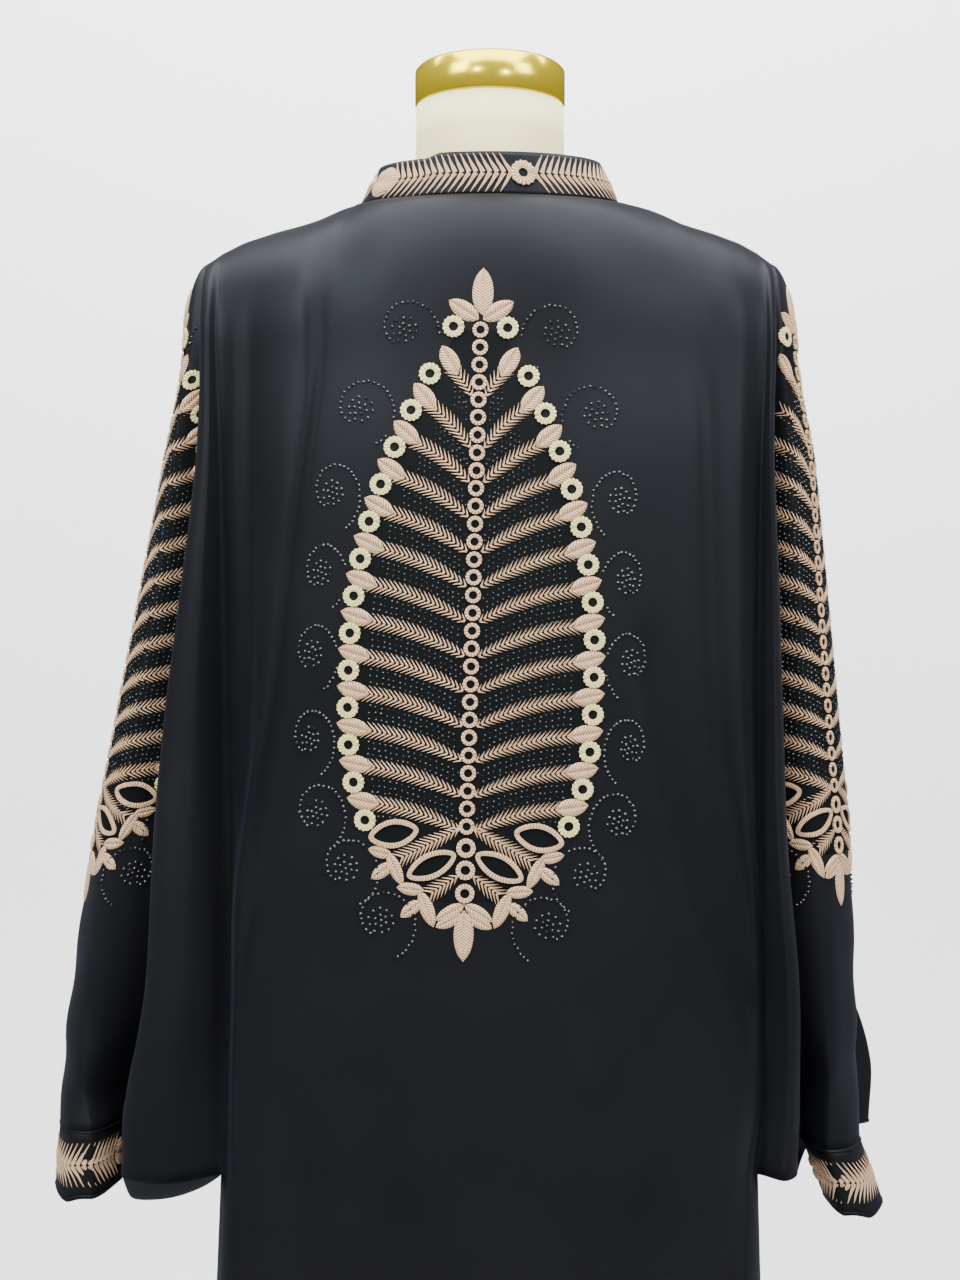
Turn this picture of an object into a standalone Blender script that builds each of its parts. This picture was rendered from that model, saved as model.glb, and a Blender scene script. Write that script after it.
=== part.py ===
"""An open black abaya with bat-wing sleeves, worn by a limbless dress form on a pole and a round base.

Metres, +Z up. The front faces -Y, the wearer's left is +X, and the origin is under the middle of the base.
Each side of the garment is one line of folds, from the centre back round the arm to the centre front.
A section through them at any height gives the cloth's outer face, and the cut pieces are stretches of it.
"""

import math

import bmesh
import bpy
from mathutils import Vector
from mathutils.bvhtree import BVHTree

WALL = 0.0016
SEAM_GAP = 0.0004
FRONT_EDGE_GAP = 0.0012

# Neckline and collar band
NECK_HALF_WIDTH = 0.101
NECK_BACK_DEPTH = 0.062
NECK_FRONT_DEPTH = 0.085
NECK_SIDE_HEIGHT = 1.444
NECK_BACK_DROP = 0.004
NECK_FRONT_DROP = 0.059
COLLAR_TOP_HALF_WIDTH = 0.086
COLLAR_TOP_BACK_DEPTH = 0.058
COLLAR_TOP_FRONT_DEPTH = 0.079
COLLAR_HEIGHT = 0.033
COLLAR_ROWS = 2

# Shoulder line, from the neck's side to the head of the sleeve: distance from the middle, and height
SHOULDER_LINE = (
    (0.101, 1.444),
    (0.134, 1.432),
    (0.166, 1.4235),
    (0.190, 1.416),
    (0.206, 1.408),
    (0.2165, 1.4005),
)
# Where the folds of the back and the front meet the neckline's side and the shoulder line
SHOULDER_FOLD_REACH = (0.101, 0.150, 0.206, 0.2115, 0.2165)

# Heights at which the folds are given, from under the shoulders to the seam under the bat wing
LEVELS = (1.33, 1.25, 1.15, 1.05, 0.95, 0.85, 0.765, 0.709)
BACK_DEPTH = (0.098, 0.105, 0.106, 0.105, 0.104, 0.105, 0.106, 0.107)
FRONT_DEPTH = (0.104, 0.120, 0.126, 0.126, 0.127, 0.128, 0.129, 0.130)
BODY_HALF_WIDTH = 0.212
BODY_SQUARENESS = 2.6

# Folds on the body: name, distance from the middle at each level, and how proud of the body's curve
BODY_FOLDS = {
    "left": (
        ("blade", (0.070, 0.070, 0.070, 0.070, 0.072, 0.074, 0.075, 0.076), 0.000),
        ("trough", (0.118, 0.126, 0.140, 0.152, 0.166, 0.176, 0.180, 0.180), -0.004),
        ("ridge", (0.138, 0.147, 0.158, 0.168, 0.180, 0.187, 0.190, 0.190), 0.005),
        ("bust", (0.070, 0.070, 0.072, 0.072, 0.074, 0.074, 0.075, 0.076), 0.000),
        ("front_trough", (0.115, 0.125, 0.130, 0.135, 0.140, 0.145, 0.148, 0.150), -0.004),
        ("front_ridge", (0.160, 0.168, 0.172, 0.176, 0.180, 0.184, 0.186, 0.186), 0.004),
    ),
    "right": (
        ("blade", (0.070, 0.070, 0.070, 0.070, 0.072, 0.074, 0.075, 0.076), 0.000),
        ("trough", (0.158, 0.162, 0.1645, 0.170, 0.183, 0.1895, 0.186, 0.180), -0.006),
        ("ridge", (0.184, 0.184, 0.184, 0.186, 0.1935, 0.200, 0.198, 0.189), 0.004),
        ("bust", (0.070, 0.070, 0.072, 0.072, 0.074, 0.074, 0.075, 0.076), 0.000),
        ("front_trough", (0.112, 0.120, 0.128, 0.136, 0.142, 0.148, 0.150, 0.150), -0.004),
        ("front_ridge", (0.158, 0.165, 0.171, 0.177, 0.182, 0.186, 0.186, 0.184), 0.004),
    ),
}

# Folds of the wings: name, distance from the middle at each level, and distance to the back (+Y)
WING_FOLDS = {
    "left": (
        ("valley", (0.2037, 0.2005, 0.199, 0.198, 0.197, 0.198, 0.1996, 0.1996),
         (0.054, 0.053, 0.049, 0.046, 0.045, 0.046, 0.048, 0.050)),
        ("wing", (0.2105, 0.210, 0.215, 0.221, 0.225, 0.229, 0.238, 0.240),
         (0.060, 0.066, 0.070, 0.072, 0.074, 0.075, 0.074, 0.070)),
        ("fold", (0.2170, 0.2192, 0.230, 0.2427, 0.251, 0.2566, 0.2715, 0.2768),
         (0.054, 0.057, 0.060, 0.060, 0.060, 0.060, 0.056, 0.048)),
        ("tuck", (0.2155, 0.208, 0.205, 0.205, 0.212, 0.228, 0.276, 0.264),
         (0.036, 0.026, 0.020, 0.016, 0.012, 0.006, -0.012, -0.012)),
        ("front_tuck", (0.2165, 0.218, 0.224, 0.232, 0.240, 0.250, 0.276, 0.264),
         (-0.046, -0.057, -0.066, -0.070, -0.066, -0.048, -0.012, -0.012)),
        ("front_return", (0.2175, 0.222, 0.232, 0.244, 0.256, 0.268, 0.286, 0.278),
         (-0.053, -0.066, -0.078, -0.084, -0.086, -0.080, -0.060, -0.052)),
        ("front_fold", (0.2185, 0.229, 0.243, 0.258, 0.270, 0.280, 0.286, 0.284),
         (-0.060, -0.076, -0.090, -0.098, -0.102, -0.100, -0.094, -0.086)),
        ("front_wing", (0.211, 0.214, 0.221, 0.228, 0.234, 0.240, 0.243, 0.242),
         (-0.066, -0.086, -0.102, -0.112, -0.116, -0.114, -0.108, -0.100)),
        ("front_valley", (0.2037, 0.2005, 0.199, 0.198, 0.197, 0.198, 0.1996, 0.1996),
         (-0.058, -0.064, -0.070, -0.072, -0.072, -0.070, -0.066, -0.060)),
    ),
    "right": (
        ("valley", (0.2044, 0.2020, 0.2012, 0.201, 0.2025, 0.2080, 0.2065, 0.1990),
         (0.056, 0.056, 0.053, 0.050, 0.048, 0.047, 0.047, 0.050)),
        ("wing", (0.2095, 0.2075, 0.2092, 0.2105, 0.213, 0.2200, 0.2200, 0.2175),
         (0.060, 0.065, 0.068, 0.069, 0.070, 0.071, 0.070, 0.068)),
        ("fold", (0.2134, 0.2120, 0.2153, 0.218, 0.2215, 0.2300, 0.2310, 0.2303),
         (0.054, 0.053, 0.054, 0.055, 0.056, 0.056, 0.054, 0.048)),
        ("tuck", (0.2125, 0.202, 0.195, 0.190, 0.192, 0.203, 0.238, 0.227),
         (0.034, 0.022, 0.016, 0.012, 0.010, 0.006, -0.012, -0.012)),
        ("front_tuck", (0.2165, 0.218, 0.222, 0.228, 0.232, 0.234, 0.238, 0.227),
         (-0.046, -0.057, -0.066, -0.070, -0.066, -0.048, -0.012, -0.012)),
        ("front_return", (0.2175, 0.2215, 0.229, 0.240, 0.248, 0.250, 0.252, 0.246),
         (-0.053, -0.066, -0.080, -0.090, -0.094, -0.090, -0.078, -0.066)),
        ("front_fold", (0.2185, 0.226, 0.238, 0.252, 0.268, 0.290, 0.318, 0.316),
         (-0.060, -0.076, -0.092, -0.104, -0.112, -0.116, -0.114, -0.106)),
        ("front_wing", (0.211, 0.213, 0.219, 0.226, 0.234, 0.244, 0.252, 0.252),
         (-0.066, -0.086, -0.102, -0.112, -0.118, -0.120, -0.118, -0.110)),
        ("front_valley", (0.2044, 0.2020, 0.2012, 0.201, 0.2015, 0.2030, 0.2030, 0.1990),
         (-0.058, -0.064, -0.070, -0.072, -0.072, -0.070, -0.066, -0.060)),
    ),
}

# Sections of the sleeve's outer face: the same columns, from the first level to the pinch above the wrist
ARM_FOLDS = {
    "left": (
        ("arm_back", (0.229, 0.240, 0.252, 0.266, 0.282, 0.297, 0.307),
         (0.030, 0.034, 0.036, 0.036, 0.035, 0.033, 0.032)),
        ("arm_side", (0.2345, 0.2485, 0.265, 0.283, 0.3005, 0.3155, 0.3245),
         (0.014, 0.016, 0.018, 0.018, 0.018, 0.016, 0.018)),
        ("arm_outer", (0.2375, 0.252, 0.2707, 0.290, 0.309, 0.3243, 0.3322),
         (-0.004, -0.008, -0.010, -0.012, -0.013, -0.013, -0.010)),
        ("arm_front", (0.230, 0.241, 0.257, 0.274, 0.291, 0.306, 0.316),
         (-0.036, -0.047, -0.054, -0.060, -0.063, -0.063, -0.060)),
    ),
    "right": (
        ("arm_back", (0.222, 0.2275, 0.230, 0.235, 0.241, 0.250, 0.256),
         (0.033, 0.037, 0.041, 0.042, 0.042, 0.040, 0.036)),
        ("arm_side", (0.2335, 0.2450, 0.2505, 0.257, 0.265, 0.271, 0.273),
         (0.014, 0.017, 0.024, 0.027, 0.026, 0.020, 0.019)),
        ("arm_outer", (0.238, 0.2523, 0.262, 0.271, 0.2798, 0.2845, 0.2864),
         (-0.008, -0.011, -0.008, -0.006, -0.006, -0.010, -0.012)),
        ("arm_front", (0.230, 0.242, 0.252, 0.261, 0.269, 0.274, 0.274),
         (-0.038, -0.050, -0.056, -0.060, -0.062, -0.062, -0.058)),
    ),
}
# The point of the sleeve's head stands this far outside the end of the shoulder seam
SLEEVE_HEAD_STEP = (0.0016, 0.0, -0.0008)
# Where the sleeve closes into a tube, it stands this far outside the wing's own corner
PINCH_STEP = (0.004, 0.0, 0.004)

# Rings at the wrist: cuff seam and cuff edge, as inner, back, side, outer and front points (x, y), and height
WRIST_RINGS = {
    "left": {
        "seam": (((0.285, -0.012), (0.301, 0.036), (0.320, 0.030), (0.3335, -0.004), (0.321, -0.060)), 0.738),
        "edge": (((0.288, -0.014), (0.300, 0.034), (0.321, 0.032), (0.3374, -0.003), (0.325, -0.060)), 0.686),
    },
    "right": {
        "seam": (((0.243, -0.013), (0.254, 0.034), (0.273, 0.028), (0.2878, -0.006), (0.276, -0.056)), 0.723),
        "edge": (((0.262, -0.016), (0.268, 0.030), (0.289, 0.026), (0.3056, -0.004), (0.296, -0.054)), 0.672),
    },
}
CUFF_ROWS = 2

# Skirt: hem points (x, y) under the body's folds, and the side seam's top and foot
HEM_HEIGHT = 0.026
HEM_POINTS = {
    "left": {
        "back": ((0.0, 0.151), (0.084, 0.127), (0.129, 0.143), (0.174, 0.106), (0.212, 0.094)),
        "front": ((0.0, -0.158), (0.082, -0.170), (0.126, -0.136), (0.180, -0.140), (0.212, -0.084)),
        "side": (0.236, 0.004),
    },
    "right": {
        "back": ((0.0, 0.151), (0.078, 0.158), (0.132, 0.120), (0.176, 0.122), (0.206, 0.080)),
        "front": ((0.0, -0.158), (0.084, -0.150), (0.128, -0.164), (0.176, -0.120), (0.208, -0.098)),
        "side": (0.228, -0.006),
    },
}
SIDE_SEAM_TOP = {"left": (0.2065, 0.0), "right": (0.2045, 0.0)}
WING_BOTTOM = 0.709
POUCH_DIP = 0.020
POUCH_TURN = 0.3

# How finely the cloth is divided
BACK_STEPS = (3, 3, 2, 3, 2, 2, 3)
ARM_STEPS = (2, 2, 2, 3, 3)
FRONT_STEPS = (1, 2, 2, 2, 3, 2, 3, 3)
SIDE_STEPS = 3
YOKE_ROWS = 5
UPPER_HEIGHTS = (1.28, 1.22, 1.16, 1.10, 1.04, 0.98, 0.92, 0.86, 0.81, 0.765)
POUCH_HEIGHTS = (0.737, 0.709)
SKIRT_HEIGHTS = (0.60, 0.46, 0.31, 0.17, 0.026)

# Embroidered leaf: height, widest half, vein pairs, and the raised work over its ground
BACK_LEAF_TOP = 1.372
BACK_LEAF_BOTTOM = 0.886
BACK_LEAF_HALF_WIDTH = 0.098
BACK_LEAF_MIDDLE = (0.004, 0.0205)
BACK_LEAF_VEINS = 13
SLEEVE_LEAF_TOP = {"left": 1.325, "right": 1.335}
SLEEVE_LEAF_BOTTOM = 0.900
SLEEVE_LEAF_HALF_WIDTH = {"left": 0.080, "right": 0.070}
SLEEVE_LEAF_VEINS = 9
SLEEVE_LEAF_COLUMN = {"left": 5, "right": 4}
VEIN_RISE = 0.34
LEAF_GAP = 0.0006
LEAF_GROUND = 0.0010
LEAF_VEIN = 0.0019
LEAF_CHAIN = 0.0022
LEAF_BORDER = 0.0021
LEAF_BORDER_WIDTH = 0.017
LEAF_SCALLOP = 0.004
LEAF_REACH = 0.005
LEAF_FROM_TUCK = 0.018
LEAF_LEAST_GAP = 0.0005
LIFT_PASSES = 5
LIFT_FINENESS = 8

# Dress form, its cap, pole and base
FORM_GAP = 0.0005
FORM_SLACK = 0.012
FORM_COLUMNS = (0.0, 1 / 3, 2 / 3, 1.0, 4 / 3, 5 / 3, 2.0, 2.5, 3.0, 3 + 2 / 3)
FORM_SIDE_COLUMNS = 3
FORM_SHOULDER_ROUND = 0.016
FORM_RINGS = (
    # height, half width, back depth, front depth
    (1.26, 0.158, 0.088, 0.104),
    (1.17, 0.145, 0.080, 0.106),
    (1.06, 0.124, 0.072, 0.082),
    (0.96, 0.140, 0.082, 0.086),
    (0.87, 0.158, 0.090, 0.092),
    (0.80, 0.150, 0.082, 0.084),
    (0.765, 0.118, 0.060, 0.062),
)
FORM_BOTTOM = 0.755
FORM_BOTTOM_HALF_WIDTH = 0.080
FORM_BOTTOM_DEPTH = 0.040
NECK_RADIUS = 0.0578
NECK_MIDDLE = (0.0, -0.006)
NECK_RISE = ((0.34, 0.55), (0.68, 0.88), (1.0, 1.0))
NECK_RING_HEIGHT = 1.468
NECK_TOP = 1.5225
CAP_TOP = 1.552
CAP_RADIUS = 0.0583
CAP_BEVEL = 0.0022
POLE_RADIUS = 0.0125
BASE_RADIUS = 0.175
BASE_EDGE = 0.010
BASE_TOP = 0.018
HUB_RADIUS = 0.030
HUB_TOP = 0.040
ROUND_SIDES = 32

CLOTH_BLACK = (0.012, 0.013, 0.016)
THREAD_ROSE = (0.62, 0.42, 0.31)
LINEN = (0.80, 0.77, 0.69)
GOLD = (0.83, 0.62, 0.20)
DARK_STEEL = (0.05, 0.05, 0.055)

SIDES = {"left": 1, "right": -1}


def clear_scene():
    for thing in list(bpy.data.objects):
        bpy.data.objects.remove(thing, do_unlink=True)


def material(name, colour, roughness, metallic=0.0):
    made = bpy.data.materials.new(name)
    made.use_nodes = True
    shader = made.node_tree.nodes["Principled BSDF"]
    shader.inputs["Base Color"].default_value = (*colour, 1.0)
    shader.inputs["Roughness"].default_value = roughness
    shader.inputs["Metallic"].default_value = metallic
    return made


def read_between(stations, values, at):
    """A smooth value at a station, through values given at falling stations."""
    last = len(stations) - 1
    if at >= stations[0]:
        return values[0]
    if at <= stations[last]:
        return values[last]
    i = next(k for k in range(last) if stations[k + 1] <= at)
    part = (stations[i] - at) / (stations[i] - stations[i + 1])
    before = values[max(i - 1, 0)]
    after = values[min(i + 2, last)]
    start = (values[i + 1] - before) / 2
    end = (after - values[i]) / 2
    part2 = part * part
    part3 = part2 * part
    return (
        (2 * part3 - 3 * part2 + 1) * values[i]
        + (part3 - 2 * part2 + part) * start
        + (3 * part2 - 2 * part3) * values[i + 1]
        + (part3 - part2) * end
    )


def curve_through(points, steps, before, after):
    """Points on a smooth curve through the given ones, with so many steps in each span."""
    chain = [before, *points, after]
    found = []
    for i, count in enumerate(steps):
        a, b, c, d = chain[i : i + 4]
        reach = (c - b).length
        start = (c - a) * (reach / max((b - a).length + reach, 1e-9))
        end = (d - b) * (reach / max((d - c).length + reach, 1e-9))
        for k in range(count):
            t = k / count
            found.append(
                b * (2 * t**3 - 3 * t**2 + 1)
                + start * (t**3 - 2 * t**2 + t)
                + c * (3 * t**2 - 2 * t**3)
                + end * (t**3 - t**2)
            )
    found.append(points[-1].copy())
    return found


def mirrored(point):
    return Vector((-point.x, point.y))


def body_point(fold, height, direction):
    """A fold's point on the body's rounded section: direction is +1 on the back and -1 on the front."""
    _, reaches, proud = fold
    depth = read_between(LEVELS, BACK_DEPTH if direction > 0 else FRONT_DEPTH, height)
    reach = read_between(LEVELS, reaches, height)
    share = max(1 - (reach / BODY_HALF_WIDTH) ** BODY_SQUARENESS, 0.0)
    return Vector((reach, direction * (depth * share ** (1 / BODY_SQUARENESS) + proud)))


def wing_point(fold, height):
    _, reaches, depths = fold
    stations = LEVELS[: len(reaches)]
    return Vector((read_between(stations, reaches, height), read_between(stations, depths, height)))


def back_folds(side, height):
    body = {fold[0]: fold for fold in BODY_FOLDS[side]}
    wing = {fold[0]: fold for fold in WING_FOLDS[side]}
    points = [Vector((0.0, read_between(LEVELS, BACK_DEPTH, height)))]
    points += [body_point(body[name], height, 1) for name in ("blade", "trough", "ridge")]
    points += [wing_point(wing[name], height) for name in ("valley", "wing", "fold", "tuck")]
    return points


def front_folds(side, height):
    """From the sleeve's front seam to the centre front."""
    body = {fold[0]: fold for fold in BODY_FOLDS[side]}
    wing = {fold[0]: fold for fold in WING_FOLDS[side]}
    names = ("front_tuck", "front_return", "front_fold", "front_wing", "front_valley")
    points = [wing_point(wing[name], height) for name in names]
    points += [body_point(body[name], height, -1) for name in ("front_ridge", "front_trough", "bust")]
    points.append(Vector((0.0, -read_between(LEVELS, FRONT_DEPTH, height))))
    return points


def upper_section(side, height):
    """Back, sleeve and front points at a height above the pinch, as one smooth line round the arm."""
    back = back_folds(side, height)
    arm = [wing_point(fold, height) for fold in ARM_FOLDS[side]]
    front = front_folds(side, height)
    line = [*back, *arm, *front]
    steps = BACK_STEPS + ARM_STEPS + FRONT_STEPS
    found = curve_through(line, steps, mirrored(back[1]), mirrored(front[-2]))
    a = sum(BACK_STEPS)
    b = a + sum(ARM_STEPS)
    return found[: a + 1], found[a : b + 1], found[b:]


def pouch_section(side, height):
    """Back and front points at a height below the pinch, where the wing is closed on its outer side."""
    back = back_folds(side, height)
    front = front_folds(side, height)
    line = [*back, *front[1:]]
    found = curve_through(line, BACK_STEPS + FRONT_STEPS, mirrored(back[1]), mirrored(front[-2]))
    a = sum(BACK_STEPS)
    return found[: a + 1], found[a:]


def fold_place(index, steps):
    """A fine column's place among the folds, as a fold number and a fraction."""
    for fold, count in enumerate(steps):
        if index < count:
            return fold + index / count
        index -= count
    return float(len(steps))


def shoulder_point(reach):
    reaches = [-point[0] for point in SHOULDER_LINE]
    heights = [point[1] for point in SHOULDER_LINE]
    return Vector((reach, 0.0, read_between(reaches, heights, -reach)))


def neckline_point(turn, front):
    """A point of the neckline, where turn runs from 0 at the centre to 1 at the side of the neck."""
    angle = turn * math.pi / 2
    across = NECK_HALF_WIDTH * math.sin(angle)
    if front:
        drop = NECK_FRONT_DROP * max(math.cos(angle), 0.0) ** 1.6
        return Vector((across, -NECK_FRONT_DEPTH * math.cos(angle), NECK_SIDE_HEIGHT - drop))
    drop = NECK_BACK_DROP * math.cos(angle)
    return Vector((across, NECK_BACK_DEPTH * math.cos(angle), NECK_SIDE_HEIGHT - drop))


def top_point(place, front):
    """The upper end of a column: on the neckline, then along the shoulder line to the head of the sleeve."""
    if place <= 2:
        return neckline_point(place / 2, front)
    if place >= 6:
        return shoulder_point(SHOULDER_FOLD_REACH[-1])
    low = int(place) - 2
    part = place - int(place)
    reach = SHOULDER_FOLD_REACH[low] * (1 - part) + SHOULDER_FOLD_REACH[low + 1] * part
    return shoulder_point(reach)


def yoke_point(top, low, turn):
    """A point on the quarter-ellipse from the shoulder or neckline down to the first level."""
    angle = turn * math.pi / 2
    run = math.sin(angle)
    return Vector(
        (
            top.x + (low.x - top.x) * run,
            top.y + (low.y - top.y) * run,
            low.z + (top.z - low.z) * math.cos(angle),
        )
    )


def at_height(points, height):
    return [Vector((point.x, point.y, height)) for point in points]


class Cloth:
    """The garment's outer face as one welded sheet, whose faces each belong to a cut piece."""

    def __init__(self):
        self.points = []
        self.found = {}
        self.faces = []
        self.owners = []

    def vertex(self, point):
        key = tuple(round(value * 1e6) for value in point)
        if key not in self.found:
            self.found[key] = len(self.points)
            self.points.append(point.copy())
        return self.found[key]

    def patch(self, owner, rows, sign):
        """Two triangles for each cell of a grid whose rows run down and whose columns run round."""
        grid = [[self.vertex(Vector((sign * p.x, p.y, p.z))) for p in row] for row in rows]
        for upper, lower in zip(grid, grid[1:]):
            for i in range(len(upper) - 1):
                a, b, c, d = upper[i], upper[i + 1], lower[i + 1], lower[i]
                ac = (self.points[a] - self.points[c]).length
                bd = (self.points[b] - self.points[d]).length
                halves = ((a, b, c), (a, c, d)) if ac <= bd else ((a, b, d), (b, c, d))
                for half in halves:
                    if len(set(half)) < 3:
                        continue
                    # A row runs round the left side one way and round the right side the other
                    self.faces.append(half if sign > 0 else half[::-1])
                    self.owners.append(owner)

    def tree(self, owner):
        """One piece's outer face, to be asked where a line meets it."""
        return BVHTree.FromPolygons(self.points, self.owned(owner))

    def owned(self, owner):
        return [face for face, its_owner in zip(self.faces, self.owners) if its_owner == owner]

    def normals(self):
        """Outward directions, where each piece that meets at a seam counts alike, however wide it is."""
        shares = {}
        for face, owner in zip(self.faces, self.owners):
            a, b, c = (self.points[i] for i in face)
            area = (b - a).cross(c - a)
            for i in face:
                shares[(i, owner)] = shares.get((i, owner), Vector()) + area
        found = [Vector() for _ in self.points]
        for (i, _), share in shares.items():
            found[i] += share.normalized()
        return [normal.normalized() for normal in found]


def open_edges(faces):
    """The edges that only one face has, in that face's own direction."""
    edges = {}
    for face in faces:
        for i in range(3):
            start, end = face[i], face[(i + 1) % 3]
            if (end, start) in edges:
                del edges[(end, start)]
            else:
                edges[(start, end)] = True
    return list(edges)


def inward_offsets(cloth, edges, normals):
    """How far each edge point of a piece moves in, so that half a seam's gap is left along its edge."""
    sums = {}
    for start, end in edges:
        along = (cloth.points[end] - cloth.points[start]).normalized()
        for i in (start, end):
            sums.setdefault(i, []).append(normals[i].cross(along).normalized())
    offsets = {}
    for i, inwards in sums.items():
        middle = sum(inwards, Vector()).normalized()
        lean = max(middle.dot(inwards[0]), 0.45)
        offsets[i] = middle * (SEAM_GAP / 2 / lean)
    return offsets


def closed_wall(faces, edges, count):
    """Outer faces, the same faces turned round on the inner points, and a rim along the open edges.

    The rim's diagonal starts at the lower numbered outer point, so that two pieces' rims lie parallel.
    """
    solid = list(faces)
    solid += [tuple(i + count for i in reversed(face)) for face in faces]
    for a, b in edges:
        if a < b:
            solid += [(b, a, b + count), (a, a + count, b + count)]
        else:
            solid += [(b, a, a + count), (b, a + count, b + count)]
    return solid


def mesh_object(name, points, faces, look):
    mesh = bpy.data.meshes.new(name)
    mesh.from_pydata([tuple(point) for point in points], [], faces)
    mesh.materials.append(look)
    mesh.shade_smooth()
    mesh.update()
    made = bpy.data.objects.new(name, mesh)
    bpy.context.scene.collection.objects.link(made)
    return made


def walled_piece(cloth, normals, name, look):
    """One cut piece as a closed wall, its inner face set in from the outer one."""
    faces = cloth.owned(name)
    offsets = inward_offsets(cloth, open_edges(faces), normals)
    used = sorted({i for face in faces for i in face})
    place = {i: k for k, i in enumerate(used)}
    outer = [cloth.points[i] + offsets.get(i, Vector()) for i in used]
    inner = [point - normals[i] * WALL for point, i in zip(outer, used)]
    local = [tuple(place[i] for i in face) for face in faces]
    return mesh_object(name, [*outer, *inner], closed_wall(local, open_edges(local), len(used)), look)


def yoke_rows(tops, lows):
    rows = []
    for k in range(YOKE_ROWS):
        rows.append([yoke_point(top, low, k / YOKE_ROWS) for top, low in zip(tops, lows)])
    return rows


def side_arc(side, back_end, front_end, height, share):
    """The body's side below the wing, from the back's outermost fold round the seam to the front's."""
    seam_top = Vector(SIDE_SEAM_TOP[side])
    seam_foot = Vector(HEM_POINTS[side]["side"])
    seam = seam_top.lerp(seam_foot, share)
    line = [back_end, seam, front_end]
    before = back_end + Vector((-0.02, 0.03))
    after = front_end + Vector((-0.02, -0.03))
    return at_height(curve_through(line, (SIDE_STEPS, SIDE_STEPS), before, after), height)


def skirt_row(side, height):
    """Back and front points of the skirt: each fold falls straight from the body to the hem."""
    share = (WING_BOTTOM - height) / (WING_BOTTOM - HEM_HEIGHT)
    back_top = back_folds(side, WING_BOTTOM)[:5]
    front_top = front_folds(side, WING_BOTTOM)[4:]
    back_hem = [Vector(point) for point in HEM_POINTS[side]["back"]]
    front_hem = [Vector(point) for point in reversed(HEM_POINTS[side]["front"])]
    back = [top.lerp(hem, share) for top, hem in zip(back_top, back_hem)]
    front = [top.lerp(hem, share) for top, hem in zip(front_top, front_hem)]
    seam = Vector(SIDE_SEAM_TOP[side]).lerp(Vector(HEM_POINTS[side]["side"]), share)
    back_line = curve_through(back, BACK_STEPS[:4], mirrored(back[1]), seam)
    front_line = curve_through(front, FRONT_STEPS[4:], seam, mirrored(front[-2]))
    arc = side_arc(side, back[-1], front[0], height, share)
    return at_height(back_line, height), arc, at_height(front_line, height)


def pouch_rows(back_edge, front_edge, arc):
    """The front's cloth turned under the wing and up to the seam on its back, a row for each step of the arc."""
    rows = []
    count = len(arc) - 1
    wing_columns = len(front_edge) - 1
    for k in range(count + 1):
        share = k / count
        row = []
        for i, (front, back) in enumerate(zip(front_edge, back_edge)):
            point = front.lerp(back, share)
            # The front's outer corner first turns in, so that the cloth passes inside the cuff
            point.x = front.x + (back.x - front.x) * share**POUCH_TURN
            spread = math.sin(math.pi * i / wing_columns) ** 0.6 if 0 < i < wing_columns else 0.0
            point.z -= POUCH_DIP * math.sin(math.pi * share) * spread
            row.append(point)
        row[-1] = arc[count - k]
        rows.append(row)
    return rows


def wrist_ring(ring):
    points, height = ring
    line = [Vector(point) for point in points]
    closed = [*line, line[0]]
    return at_height(curve_through(closed, ARM_STEPS, line[-1], line[1]), height)


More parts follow.
